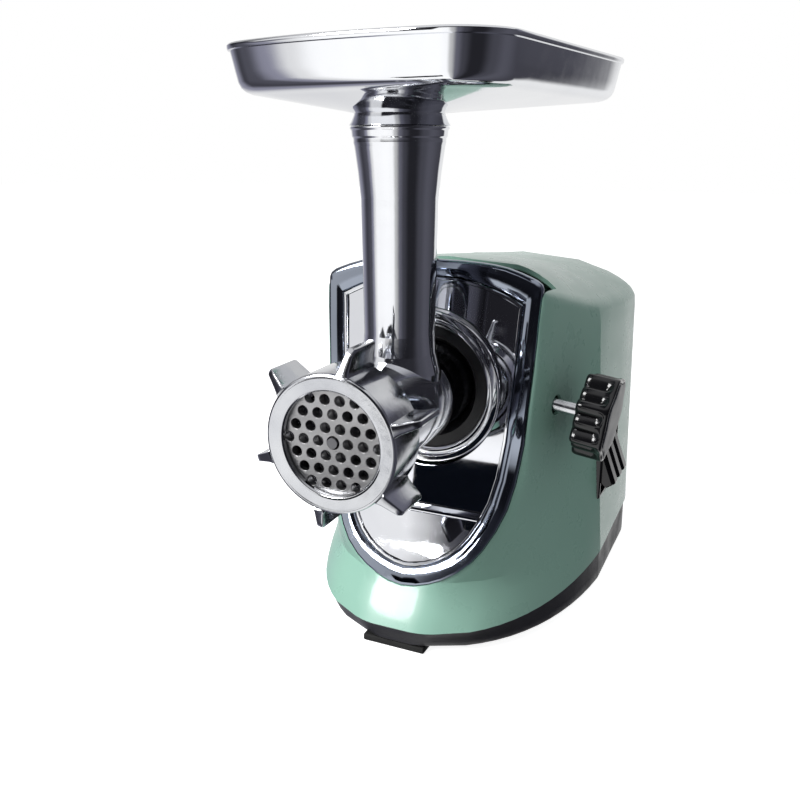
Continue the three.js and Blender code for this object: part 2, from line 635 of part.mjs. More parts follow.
const sleeveCut = join(tubeHollow, barrelHollow);
const plateNotch = meet(join(...notchKeys), turnedY(pipe(29.8, plateRadius + 1.2, 0, 12)));
piece("head_barrel", cut(join(barrel, tube), sleeveCut, cut(join(
  box(30, 32.6, 0, seat, axisHeight - 2.4, axisHeight + 2.4),
  box(-32.6, -30, 0, seat, axisHeight - 2.4, axisHeight + 2.4),
), notchGap)), chrome, 0.12, 1.0);

// ---------- plate, knife, auger ----------
const holes = [];
const holePitch = 8.5;
const holeRadius = 2.75;
for (let row = -3; row <= 3; row++)
  for (let k = -4; k <= 4; k++) {
    const x = k * holePitch + (row % 2 ? holePitch / 2 : 0);
    const z = row * holePitch * 0.866;
    const d = Math.hypot(x, z);
    if (d > 6 && d < plateRadius - 3) holes.push({ x, z: axisHeight + z, r: holeRadius });
  }
const pinRadius = 2.8;
holes.push({ x: 0, z: axisHeight, r: pinRadius + 2 * fitGap });
const disc = [];
for (let i = 0; i < 48; i++) {
  const a = i * Math.PI / 24;
  disc.push([plateRadius * Math.cos(a), axisHeight + plateRadius * Math.sin(a)]);
}
const plateBack = plateFront + plateThickness;
const plate = join(
  prismY(disc, plateFront, plateBack, holes),
  meet(plateNotch, box(-40, 40, plateFront + 1.4, plateBack, 0, 300)),
);
piece("cutting_plate", plate, steel, 0.4, 0.9);
const star = [];
for (let i = 0; i < lugCount; i++) {
  const a = (lugTurn + i * 360 / lugCount) * DEG;
  const half = Math.asin(lugRoot / 2 / ringRadius);
  const tipHalf = Math.asin(lugTip / 2 / lugRadius);
  star.push([ringRadius, a - half], [lugRadius, a - tipHalf], [lugRadius, a + tipHalf], [ringRadius, a + half]);
  const next = a + 2 * Math.PI / lugCount - half;
  for (let k = 1; k < 6; k++) star.push([ringRadius, a + half + (next - a - half) * k / 6]);
}
const starOutline = star.map(([r, a]) => [r * Math.cos(a), axisHeight + r * Math.sin(a)]);
// The front edge of each lug leans back towards its tip.
const lugLean = turnedY([[ringRadius + 1.5, -1], [lugRadius + 2, -1], [lugRadius + 2, 5]]);
piece("ring_nut", cut(
  prismY(starOutline, 0, ringDepth),
  lugLean,
  turnedY(rod(ringOpening, -1, ringLip + 1)),
  turnedY([[0, ringLip], [threadRadius + 0.4, ringLip], [threadRadius + 0.4, ringDepth + 1], [0, ringDepth + 1]]),
), chrome, 0.12, 1.0);
const knifeFront = plateBack + runGap;
const knifeRear = knifeFront + 5;
let knife = turnedY(rod(10.5, knifeFront, knifeRear), 0, axisHeight, 32);
for (let i = 0; i < 4; i++) {
  const g = new THREE.BoxGeometry(boreRadius - 1 - 6, 5, 8);
  g.translate((boreRadius - 1 + 6) / 2, 0, 0).rotateY(i * Math.PI / 2);
  knife = join(knife, solid(g.translate(0, (knifeFront + knifeRear) / 2, axisHeight)));
}
const knifeSquare = 5;
knife = cut(knife, box(-knifeSquare - fitGap, knifeSquare + fitGap, knifeFront - 1, knifeRear + 1,
  axisHeight - knifeSquare - fitGap, axisHeight + knifeSquare + fitGap));
piece("knife", knife, steel, 0.35, 0.9);
const flightFront = knifeRear + 2;
const flightRear = augerRear - 3;
const flightRadius = boreRadius - runGap - 0.2;
const turns = 2.75;
const flightRings = [];
const flightSteps = 48;
for (let i = 0; i <= flightSteps; i++) {
  const t = i / flightSteps;
  const a = t * turns * 2 * Math.PI;
  const y = flightFront + 3.2 + (flightRear - flightFront - 6.4) * t;
  const at = (r, dy) => [r * Math.cos(a), y + dy, axisHeight + r * Math.sin(a)];
  flightRings.push([at(7, -3), at(flightRadius, -1.4), at(flightRadius, 1.4), at(7, 3)]);
}
const augerCore = turnedY([
  [0, plateFront - 1], [pinRadius, plateFront - 1], [pinRadius, knifeFront - 0.2],
  [6.2, knifeFront - 0.2], [6.2, knifeRear + 0.6], [9, knifeRear + 0.6], [13, flightRear - 14],
  [14, flightRear], [14, augerRear - 0.6], [shankRadius, augerRear - 0.6],
  [shankRadius, 132], [0, 132],
], 0, axisHeight, 32);
const frontSquare = box(-knifeSquare, knifeSquare, knifeFront - 0.2, knifeRear + 0.8,
  axisHeight - knifeSquare, axisHeight + knifeSquare);
const squareRound = cut(
  turnedY(rod(30, knifeFront - 0.3, knifeRear + 0.3)),
  turnedY(rod(pinRadius, knifeFront - 2, knifeRear + 2), 0, axisHeight, 32),
  frontSquare,
);
const rearSquare = box(-squareHalf, squareHalf, 130, 156, axisHeight - squareHalf, axisHeight + squareHalf);
const auger = join(cut(join(augerCore, loft(flightRings)), squareRound), frontSquare, rearSquare);
piece("auger", auger, chrome, 0.3, 0.9);

// ---------- tray ----------
function trayRing(z, inset) {
  const points = [];
  const x0 = -trayLeft + inset;
  const x1 = trayRight - inset;
  const y0 = -trayFront + inset;
  const y1 = trayBack - inset;
  const r = Math.max(4, trayCorner - inset * 0.4);
  const corners = [
    [x1 - r, y1 - r, 0], [x0 + r, y1 - r, 90], [x0 + r, y0 + r, 180], [x1 - r, y0 + r, 270],
  ];
  for (const [cx, cy, from] of corners) {
    for (let i = 0; i <= 5; i++) {
      const a = (from + i * 18) * DEG;
      points.push([cx + r * Math.cos(a), cy + r * Math.sin(a)]);
    }
    if (from === 180) for (let k = 1; k < 5; k++) points.push([cx + (x1 - x0 - 2 * r) * k / 5, y0]);
  }
  const bulge = (x) => trayBow * (1 - ((2 * x - x0 - x1) / (x1 - x0)) ** 2);
  return points.map(([x, y]) => turnTray(x, y < 0 ? y - bulge(x) : y, z));
}
function turnTray(x, y, z) {
  const c = Math.cos(trayTurn * DEG);
  const s = Math.sin(trayTurn * DEG);
  return [c * x - s * y, tubeY + s * x + c * y, z];
}
// A round ring whose points sit on the same bearings as the corners of the pan.
function spoutRing(z, radius) {
  return trayRing(z, 0).map(([x, y]) => {
    const a = Math.atan2(y - tubeY, x);
    return [radius * Math.cos(a), tubeY + radius * Math.sin(a), z];
  });
}
const spoutNeck = 21.5;
const spoutTop = trayFloor - trayFall;
const sleeveRadius = mouthRadius - fitGap;
const trayOuter = loft([
  spoutRing(spoutTop, spoutNeck + 3), trayRing(trayFloor, 12), trayRing(trayFloor + 1.5, 7),
  trayRing(trayFloor + 6, 4), trayRing(trayRim - 3, 1.2), trayRing(trayRim - 3, 0), trayRing(trayRim, 0),
]);
const trayInner = loft([
  spoutRing(spoutTop + traySheet, spoutNeck + 2), trayRing(trayFloor + traySheet, 12 + traySheet),
  trayRing(trayFloor + 1.5 + traySheet, 7 + traySheet), trayRing(trayFloor + 6, 4 + traySheet),
  trayRing(trayRim + 1, 1.2 + traySheet),
]);
const spout = turnedZ([
  [0, 292.8], [sleeveRadius, 292.8], [sleeveRadius, tubeTop + fitGap], [tubeRadius + 7.4, tubeTop + fitGap],
  [tubeRadius + 7.4, tubeTop + 1.3], [tubeRadius + 4, tubeTop + 3.2], [spoutNeck + 0.8, spoutTop - 2],
  [spoutNeck + 1, spoutTop - 0.6], [spoutNeck + 5, spoutTop + 1.1], [0, spoutTop + 1.1],
]);
const spoutHollow = turnedZ(rod(sleeveRadius - traySheet, 280, trayFloor + 10));
piece("tray", cut(join(cut(trayOuter, trayInner), cut(spout, trayInner)), spoutHollow), chrome, 0.08, 1.0);

// ---------- lock screw and knob ----------
const screwTip = spigotRadius + fitGap;
const knobOuter = knobInner + knobThickness;
piece("lock_screw", turnedScrew([
  [0, screwTip], [screwRadius - 1, screwTip], [screwRadius, screwTip + 1.2],
  [screwRadius, knobInner + 9], [0, knobInner + 9],
]), steel, 0.25, 1.0);
const knobPoints = [];
for (let i = 0; i < knobLobes * 6; i++) {
  const a = i * 2 * Math.PI / (knobLobes * 6);
  const r = knobRadius - knobScoop * (1 - Math.cos(a * knobLobes)) / 2;
  knobPoints.push([r * Math.cos(a), r * Math.sin(a)]);
}
const knobBody = cut(
  prismX(knobPoints, knobInner, knobOuter, onScrew),
  turnedScrew(rod(screwRadius + fitGap, knobInner - 1, knobInner + 9 + fitGap)),
  turnedScrew(rod(knobRadius - 5, knobOuter - 2, knobOuter + 1)),
);
piece("lock_knob", knobBody, black, 0.25, 0.0);
piece("knob_cap", turnedScrew([
  [0, knobOuter - 2 + fitGap], [knobRadius - 5 - fitGap, knobOuter - 2 + fitGap],
  [knobRadius - 5 - fitGap, knobOuter], [knobRadius - 7, knobOuter + 0.8], [0, knobOuter + 1.2],
]), 0x3a3f4c, 0.3, 0.0);

// ---------- switch ----------
const bezelRim = 2.4;
const slotY0 = switchY - switchLength / 2;
const slotY1 = switchY + switchLength / 2;
const slotZ0 = switchZ - switchHeight / 2;
const slotZ1 = switchZ + switchHeight / 2;
const bezelIn = switchX - 16;
const bezelOut = switchX + 1.4;
const bezel = cut(
  box(bezelIn, bezelOut, slotY0 + fitGap, slotY1 - fitGap, slotZ0 + fitGap, slotZ1 - fitGap),
  box(bezelIn + 2, bezelOut + 2, slotY0 + bezelRim, slotY1 - bezelRim, slotZ0 + bezelRim, slotZ1 - bezelRim),
);
const pivotX = switchX - 3;
const pivotZ = switchZ + 7;
piece("switch_bezel", bezel, black, 0.35, 0.0);
const paddleY0 = slotY0 + bezelRim + 0.8;
const paddleY1 = slotY1 - bezelRim - 0.8;
function paddleProfile(y0, y1, lift) {
  const outline = [
    [pivotX - 7, pivotZ - 6], [pivotX + 8 + lift, pivotZ - 21], [pivotX + 12 + lift, pivotZ - 18],
    [pivotX + 2 + lift, pivotZ + 9], [pivotX - 4, pivotZ + 9], [pivotX - 7, pivotZ + 4],
  ];
  return prismY(outline, y0, y1);
}
let paddle = paddleProfile(paddleY0, paddleY1, 0);
const ribCount = 3;
const ribStep = (paddleY1 - paddleY0) / ribCount;
for (let i = 0; i < ribCount; i++) {
  const y = paddleY0 + (i + 0.5) * ribStep;
  paddle = join(paddle, paddleProfile(y - ribStep * 0.22, y + ribStep * 0.22, 1.6));
}
piece("switch_rocker", paddle, black, 0.3, 0.0);
piece("switch_body", box(bezelIn - 16, bezelIn - fitGap, slotY0 + 8, slotY1 - 8, slotZ0 + 6, slotZ1 - 6), dark, 0.6, 0.0);

// ---------- cord gland ----------
piece("cord_gland", turnedY([
  [0, glandY - 9], [9, glandY - 9], [9, glandY - wall - fitGap], [6.7, glandY - wall - fitGap],
  [6.7, glandY + fitGap], [9, glandY + fitGap], [8, glandY + 4], [4.5, glandY + 12], [0, glandY + 12],
], -45, glandZ, 24), black, 0.6, 0.0);

export default group;
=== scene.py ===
# Electric meat grinder: visible pieces, finishes and studio. Metres, +Z up.
# Shapes are written in millimetres: across, back from the front of the ring nut, up from the table.
from math import atan2, cos, hypot, pi, radians, sin, tan

import bmesh
import bpy
from mathutils import Matrix, Vector


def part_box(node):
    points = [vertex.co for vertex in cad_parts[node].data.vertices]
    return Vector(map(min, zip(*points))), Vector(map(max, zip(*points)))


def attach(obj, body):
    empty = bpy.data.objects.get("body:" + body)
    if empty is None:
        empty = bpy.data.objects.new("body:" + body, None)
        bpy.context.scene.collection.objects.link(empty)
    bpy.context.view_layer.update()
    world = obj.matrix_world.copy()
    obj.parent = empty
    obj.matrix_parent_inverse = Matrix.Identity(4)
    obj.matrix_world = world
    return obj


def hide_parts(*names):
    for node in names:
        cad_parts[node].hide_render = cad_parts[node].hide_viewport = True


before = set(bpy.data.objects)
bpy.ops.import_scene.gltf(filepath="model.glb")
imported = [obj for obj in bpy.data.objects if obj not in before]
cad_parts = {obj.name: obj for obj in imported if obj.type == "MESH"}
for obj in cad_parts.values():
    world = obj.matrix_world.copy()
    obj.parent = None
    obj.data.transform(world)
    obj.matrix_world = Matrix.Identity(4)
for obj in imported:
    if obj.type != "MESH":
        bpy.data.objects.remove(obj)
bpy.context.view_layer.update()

# ---------- driving sizes, in millimetres ----------
MM = 0.001
ring_low, ring_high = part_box("ring_nut")
shell_low, shell_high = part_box("housing_shell")
tray_low, tray_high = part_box("tray")
plate_low, plate_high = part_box("cutting_plate")
FRONT_Y = ring_low.y
AXIS_Z = (plate_low.z + plate_high.z) / 2 / MM
BODY_REAR = (shell_high.y - FRONT_Y) / MM
BODY_HALF = 95.0
BODY_TOP = shell_high.z / MM
FOOT_HEIGHT = 5.0
WALL = 3.0
FIT_GAP = 0.3
TUBE_BACK = 84.0
TUBE_RADIUS = 20.0
TUBE_TOP = 313.0
BARREL_RADIUS = 28.5
RING_RADIUS = 36.8
RING_DEPTH = (ring_high.y - ring_low.y) / MM
RING_OPENING = 27.5
LUG_COUNT = 6
LUG_TURN = radians(18.5)
PLATE_RADIUS = 31.0
PANEL_HALF = 70.0
PANEL_TOP = 238.0
PANEL_BOTTOM = 41.0
FRAME_BAND = 11.0
FRAME_SINK = 4.0
LEDGE_Z = 86.0
MIRROR_SHEET = 2.6
COLLAR_RADIUS = 49.0
SCREW_BACK = 153.0
SCREW_TILT = radians(8)
KNOB_INNER = 91.5
KNOB_OUTER = 111.5
KNOB_RADIUS = 26.8
KNOB_LOBES = 7
SWITCH_BACK = 236.0
SWITCH_Z = 90.0
SWITCH_LENGTH = 54.0
SWITCH_HEIGHT = 44.0
GLAND_X = -45.0
GLAND_Z = 60.0
TRAY_RIM = tray_high.z / MM
TRAY_FLOOR = 329.0
TRAY_FALL = 9.0
TRAY_SHEET = 1.3
TRAY_LEFT = 86.5
TRAY_RIGHT = 79.5
TRAY_FRONT = 50.0
TRAY_BACK = 150.0
TRAY_TURN = radians(-6)

ACROSS = Vector((1, 0, 0))
BACK = Vector((0, 1, 0))
UP = Vector((0, 0, 1))
SCREW_AXIS = Vector((cos(SCREW_TILT), 0, -sin(SCREW_TILT)))


# ---------- shape helpers ----------
def smooth_along(table, t):
    """Smooth reading of a table of (input, value) pairs."""
    last = len(table) - 1
    if t <= table[0][0]:
        return table[0][1]
    if t >= table[last][0]:
        return table[last][1]

    def slope(i):
        a, b = table[max(0, i - 1)], table[min(last, i + 1)]
        return (b[1] - a[1]) / (b[0] - a[0])

    i = max(k for k in range(last) if table[k][0] <= t)
    (t0, v0), (t1, v1) = table[i], table[i + 1]
    span = t1 - t0
    u = (t - t0) / span
    return (
        (2 * u**3 - 3 * u**2 + 1) * v0
        + (u**3 - 2 * u**2 + u) * span * slope(i)
        + (3 * u**2 - 2 * u**3) * v1
        + (u**3 - u**2) * span * slope(i + 1)
    )


def straight_along(table, t):
    """Straight-line reading of a table of (input, value) pairs."""
    if t <= table[0][0]:
        return table[0][1]
    for (t0, v0), (t1, v1) in zip(table, table[1:]):
        if t <= t1:
            return v0 + (v1 - v0) * (t - t0) / (t1 - t0)
    return table[-1][1]


def rounded(points, radii, steps=5):
    """The polyline with an arc of steps + 1 points at every corner whose radius isn't 0."""
    out = [points[0]]
    for p, here, q, radius in zip(points, points[1:], points[2:], radii[1:]):
        if not radius:
            out.append(here)
            continue
        here2, to_p, to_q = Vector(here), Vector(p) - Vector(here), Vector(q) - Vector(here)
        reach_p, reach_q = to_p.length, to_q.length
        to_p.normalize()
        to_q.normalize()
        turn = pi - to_p.angle(to_q)
        reach = min(radius * tan(turn / 2), 0.48 * reach_p, 0.48 * reach_q)
        a, b = here2 + to_p * reach, here2 + to_q * reach
        for k in range(steps + 1):
            u = k / steps
            out.append(tuple((1 - u) ** 2 * a + 2 * u * (1 - u) * here2 + u * u * b))
    out.append(points[-1])
    return out


def ring_edges(bm, points, closed=True):
    verts = [bm.verts.new(p) for p in points]
    pairs = list(zip(verts, verts[1:]))
    if closed:
        pairs.append((verts[-1], verts[0]))
    return verts, [bm.edges.new(pair) for pair in pairs]


def skinned(rings, cap_first=True, cap_last=True, join_ends=False, closed=True):
    """A surface through rings of equal point count: the first is extruded from one ring to the next."""
    bm = bmesh.new()
    verts, edges = ring_edges(bm, rings[0], closed)
    first_edges = edges
    for ring in rings[1:]:
        made = bmesh.ops.extrude_edge_only(bm, edges=edges)["geom"]
        fresh = {g for g in made if isinstance(g, bmesh.types.BMVert)}
        moved = []
        for vert, place in zip(verts, ring):
            mate = next(e.other_vert(vert) for e in vert.link_edges if e.other_vert(vert) in fresh)
            mate.co = place
            moved.append(mate)
        verts = moved
        edges = [g for g in made if isinstance(g, bmesh.types.BMEdge) and all(v in fresh for v in g.verts)]
    if join_ends:
        bmesh.ops.bridge_loops(bm, edges=first_edges + edges)
    else:
        if cap_first:
            bmesh.ops.contextual_create(bm, geom=first_edges)
        if cap_last:
            bmesh.ops.contextual_create(bm, geom=edges)
    return bm


def turned(profile, axis=BACK, centre=(0, 0, 160.0), steps=96, closed=True):
    """A solid of revolution; the profile is (radius, distance along the axis) pairs."""
    bm = bmesh.new()
    out = UP if abs(axis.z) < 0.9 else ACROSS
    out = (out - axis * out.dot(axis)).normalized()
    centre = Vector(centre)
    places = [centre + axis * d + out * r for r, d in profile]
    verts, edges = ring_edges(bm, places, closed and profile[0][0] > 0 and profile[-1][0] > 0)
    bmesh.ops.spin(
        bm, geom=verts + edges, cent=centre, axis=axis, angle=2 * pi, steps=steps, use_merge=True
    )
    bmesh.ops.remove_doubles(bm, verts=bm.verts, dist=1e-4)
    bmesh.ops.recalc_face_normals(bm, faces=bm.faces)
    return bm


def turned_rod(radius, start, end, **where):
    return turned([(0, start), (radius, start), (radius, end), (0, end)], **where)


def softened(profile, radius, steps=3):
    """A turned profile whose corners are rounded, with both ends as they are."""
    return rounded(profile, [radius] * len(profile), steps)


def soft_box(low, high, bevel, segments=3):
    bm = bmesh.new()
    bmesh.ops.create_cube(bm, size=1)
    for v in bm.verts:
        v.co = Vector([(a + b) / 2 + c * (b - a) for a, b, c in zip(low, high, v.co)])
    if bevel:
        bmesh.ops.bevel(
            bm, geom=bm.edges, offset=bevel, affect="EDGES", segments=segments, profile=0.5, material=-1
        )
    return bm


def as_mesh(bm, name):
    bmesh.ops.recalc_face_normals(bm, faces=bm.faces)
    mesh = bpy.data.meshes.new(name)
    bm.to_mesh(mesh)
    bm.free()
    return mesh


def carved(bm, cutters, operation="DIFFERENCE"):
    """The body with each cutter taken away from it, or joined to it."""
    body = bpy.data.objects.new("carving_body", as_mesh(bm, "carving_body"))
    bpy.context.scene.collection.objects.link(body)
    tools = []
    for cutter in cutters:
        tool = bpy.data.objects.new("carving_tool", as_mesh(cutter, "carving_tool"))
        bpy.context.scene.collection.objects.link(tool)
        tools.append(tool)
        step = body.modifiers.new("carve", "BOOLEAN")
        step.operation = operation
        step.solver = "EXACT"
        step.object = tool
    bpy.context.view_layer.update()
    seen = body.evaluated_get(bpy.context.evaluated_depsgraph_get())
    result = bmesh.new()
    result.from_mesh(seen.to_mesh())
    seen.to_mesh_clear()
    for done in [body, *tools]:
        mesh = done.data
        bpy.data.objects.remove(done)
        bpy.data.meshes.remove(mesh)
    return result


def new_piece(name, bm, finish, body, nodes, sharp=32):
    """Puts a shape made in millimetres in its place in the frame with its finish, hangs it on its body, and hides
    the parts it stands for.
    """
    bmesh.ops.remove_doubles(bm, verts=bm.verts, dist=1e-4)
    for v in bm.verts:
        v.co = Vector((v.co.x * MM, v.co.y * MM + FRONT_Y, v.co.z * MM))
    for face in bm.faces:
        face.smooth = True
    mesh = as_mesh(bm, name)
    mesh.set_sharp_from_angle(angle=radians(sharp))
    piece = bpy.data.objects.new(name, mesh)
    bpy.context.scene.collection.objects.link(piece)
    mesh.materials.append(finish)
    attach(piece, body)
    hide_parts(*nodes)
    return piece


# ---------- finishes ----------
class Finish:
    """A Principled material with its nodes laid out step by step."""

    def __init__(self, name):
        self.material = bpy.data.materials.new(name)
        self.material.use_nodes = True
        self.nodes = self.material.node_tree.nodes
        self.links = self.material.node_tree.links
        self.shader = self.nodes["Principled BSDF"]
        self.place = self.nodes.new("ShaderNodeTexCoord").outputs["Object"]

    def mapped(self, scale=(1, 1, 1), location=(0, 0, 0)):
        node = self.nodes.new("ShaderNodeMapping")
        node.inputs["Scale"].default_value = scale
        node.inputs["Location"].default_value = location
        self.links.new(self.place, node.inputs["Vector"])
        return node.outputs["Vector"]

    def noise(self, scale, detail=3.0, roughness=0.5, stretch=(1, 1, 1)):
        node = self.nodes.new("ShaderNodeTexNoise")
        node.inputs["Scale"].default_value = scale
        node.inputs["Detail"].default_value = detail
        node.inputs["Roughness"].default_value = roughness
        self.links.new(self.mapped(stretch), node.inputs["Vector"])
        return node.outputs["Fac"]

    def levels(self, value, low, high, start=0.35, end=0.65):
        node = self.nodes.new("ShaderNodeMapRange")
        node.inputs["From Min"].default_value = start
        node.inputs["From Max"].default_value = end
        node.inputs["To Min"].default_value = low
        node.inputs["To Max"].default_value = high
        self.links.new(value, node.inputs["Value"])
        return node.outputs["Result"]

    def blend(self, value, first, second):
        node = self.nodes.new("ShaderNodeValToRGB")
        node.color_ramp.elements[0].position = 0.3
        node.color_ramp.elements[0].color = (*first, 1)
        node.color_ramp.elements[1].position = 0.7
        node.color_ramp.elements[1].color = (*second, 1)
        self.links.new(value, node.inputs["Fac"])
        return node.outputs["Color"]

    def colour(self, value):
        self.links.new(value, self.shader.inputs["Base Color"])

    def rough(self, value):
        self.links.new(value, self.shader.inputs["Roughness"])

    def relief(self, height, distance, strength=1.0):
        node = self.nodes.new("ShaderNodeBump")
        node.inputs["Distance"].default_value = distance
        node.inputs["Strength"].default_value = strength
        self.links.new(height, node.inputs["Height"])
        self.links.new(node.outputs["Normal"], self.shader.inputs["Normal"])

    def set(self, **values):
        for key, value in values.items():
            self.shader.inputs[key.replace("_", " ")].default_value = value


def moulded(name, light, deep, rough_low, rough_high, grain_scale, grain_depth, coat=0.0):
    """Injection-moulded plastic: faint flow mottling, a fine grain and handling marks in the gloss."""
    f = Finish(name)
    f.colour(f.blend(f.noise(14, 4), deep, light))
    f.rough(f.levels(f.noise(60, 5, 0.6), rough_low, rough_high))
    f.relief(f.noise(grain_scale, 2), grain_depth)
    f.set(Metallic=0.0, Coat_Weight=coat, Coat_Roughness=0.08)
    return f.material


def bright_metal(name, light, deep, rough_low, rough_high, grain_scale, grain_depth, stretch=(1, 1, 1)):
    """Bare or plated metal: polishing marks in the gloss and a little unevenness in the surface."""
    f = Finish(name)
    f.colour(f.blend(f.noise(25, 4, stretch=stretch), deep, light))
    f.rough(f.levels(f.noise(120, 6, 0.6, stretch), rough_low, rough_high))
    f.relief(f.noise(grain_scale, 3, stretch=stretch), grain_depth)
    f.set(Metallic=1.0)
    return f.material


def mint_shell_plastic():
    return moulded("mint_shell_plastic", (0.35, 0.61, 0.495), (0.335, 0.595, 0.48), 0.26, 0.33, 45,
        0.00002, 0.3)


def charcoal_base_plastic():
    return moulded("charcoal_base_plastic", (0.018, 0.018, 0.021), (0.012, 0.012, 0.014), 0.32, 0.46,
        1400, 0.00008)


def black_chrome_frame():
    """Dark bright plating: it mirrors the room, a little darker and bluer than chrome."""
    return bright_metal("black_chrome_frame", (0.30, 0.33, 0.39), (0.26, 0.29, 0.35), 0.03, 0.07, 60, 0.00001)


def black_knob_plastic():
    return moulded("black_knob_plastic", (0.006, 0.006, 0.007), (0.004, 0.004, 0.005), 0.10, 0.16, 500,
        0.00001, 0.0)


def slate_cap_plastic():
    return moulded("slate_cap_plastic", (0.022, 0.026, 0.036), (0.017, 0.020, 0.028), 0.30, 0.38, 900,
        0.00003)


def socket_plastic():
    return moulded("socket_plastic", (0.008, 0.008, 0.010), (0.005, 0.005, 0.006), 0.3, 0.42, 900, 0.00004)


def foot_rubber():
    return moulded("foot_rubber", (0.012, 0.012, 0.012), (0.007, 0.007, 0.007), 0.7, 0.85, 1200, 0.0001)


def gear_nylon():
    return moulded("gear_nylon", (0.72, 0.70, 0.62), (0.66, 0.63, 0.54), 0.4, 0.5, 800, 0.00004)


def fan_plastic():
    return moulded("fan_plastic", (0.010, 0.010, 0.012), (0.006, 0.006, 0.007), 0.4, 0.5, 900, 0.00004)


def plated_mirror():
    return bright_metal("plated_mirror", (0.78, 0.79, 0.82), (0.74, 0.75, 0.79), 0.015, 0.05, 30, 0.00001)


def plated_trim():
    return bright_metal("plated_trim", (0.86, 0.87, 0.89), (0.80, 0.81, 0.84), 0.03, 0.08, 120, 0.00001)


def polished_casting():
    return bright_metal("polished_casting", (0.80, 0.81, 0.83), (0.74, 0.75, 0.78), 0.05, 0.11, 160, 0.00003)


def polished_ring_casting():
    """The ring is polished by hand over a casting, so its gloss is broken by faint round marks."""
    return bright_metal("polished_ring_casting", (0.62, 0.63, 0.65), (0.50, 0.51, 0.54), 0.08, 0.16, 220,
        0.00005)


def polished_tray_steel():
    return bright_metal("polished_tray_steel", (0.82, 0.83, 0.85), (0.76, 0.77, 0.80), 0.03, 0.09, 18,
        0.00010)


def ground_plate_steel():
    return bright_metal("ground_plate_steel", (0.45, 0.45, 0.455), (0.31, 0.31, 0.315), 0.30, 0.45, 500,
        0.00010, (1, 1, 3))


def rough_auger_casting():
    return bright_metal("rough_auger_casting", (0.24, 0.24, 0.25), (0.16, 0.16, 0.17), 0.35, 0.5, 300,
        0.00012)


def turned_shaft_steel():
    return bright_metal("turned_shaft_steel", (0.68, 0.69, 0.71), (0.58, 0.59, 0.61), 0.14, 0.24, 600,
        0.00003, (8, 1, 1))


def insert_brass():
    return bright_metal("insert_brass", (0.62, 0.46, 0.20), (0.52, 0.37, 0.15), 0.22, 0.34, 500, 0.00004)


def cast_case_metal():
    return bright_metal("cast_case_metal", (0.46, 0.47, 0.49), (0.36, 0.37, 0.39), 0.42, 0.58, 300, 0.00020)


def stacked_laminations():
    f = Finish("stacked_laminations")
    wave = f.nodes.new("ShaderNodeTexWave")
    wave.bands_direction = "Y"
    wave.inputs["Scale"].default_value = 320
    f.links.new(f.mapped(), wave.inputs["Vector"])
    f.colour(f.blend(wave.outputs["Fac"], (0.10, 0.10, 0.11), (0.24, 0.24, 0.25)))
    f.rough(f.levels(f.noise(90, 4), 0.4, 0.6))
    f.relief(wave.outputs["Fac"], 0.0002)
    f.set(Metallic=0.8)
    return f.material


def wound_copper():
    f = Finish("wound_copper")
    wave = f.nodes.new("ShaderNodeTexWave")
    wave.bands_direction = "Z"
    wave.inputs["Scale"].default_value = 420
    f.links.new(f.mapped(), wave.inputs["Vector"])
    f.colour(f.blend(wave.outputs["Fac"], (0.30, 0.10, 0.03), (0.62, 0.27, 0.10)))
    f.rough(f.levels(f.noise(90, 4), 0.25, 0.4))
    f.relief(wave.outputs["Fac"], 0.0003)
    f.set(Metallic=0.7)
    return f.material


mint = mint_shell_plastic()
charcoal = charcoal_base_plastic()
black_chrome = black_chrome_frame()
knob_black = black_knob_plastic()
slate = slate_cap_plastic()
socket_black = socket_plastic()
rubber = foot_rubber()
nylon = gear_nylon()
fan_black = fan_plastic()
mirror = plated_mirror()
plated = plated_trim()
casting = polished_casting()
auger_casting = rough_auger_casting()
ring_casting = polished_ring_casting()
tray_steel = polished_tray_steel()
plate_steel = ground_plate_steel()
shaft_steel = turned_shaft_steel()
brass = insert_brass()
cast_case = cast_case_metal()
laminations = stacked_laminations()
copper = wound_copper()

# ---------- housing outline ----------
SEAM_FRONT = 19.0
front_table = [
    (18, 71), (30, 78), (41, 86), (55, 92.5), (70, 100), (90, 109), (105, 113.5), (120, 116.5),
    (160, 121), (BODY_TOP + 8, 131),
]
flat_table = [
    (5, 14), (18, 20), (30, 22), (45, 24), (55, 37), (70, 51), (90, 60), (110, 66), (135, 67),
    (160, 68.5), (BODY_TOP, 72.5),
]


def front_back(z):
    """How far back the front surface of the housing lies at a height."""
    if z < 18:
        return straight_along([(FOOT_HEIGHT, 77.5), (18, 71)], z)
    return smooth_along(front_table, z)


def seam_z(back):
    return SEAM_FRONT + 0.06 * (back - 70)


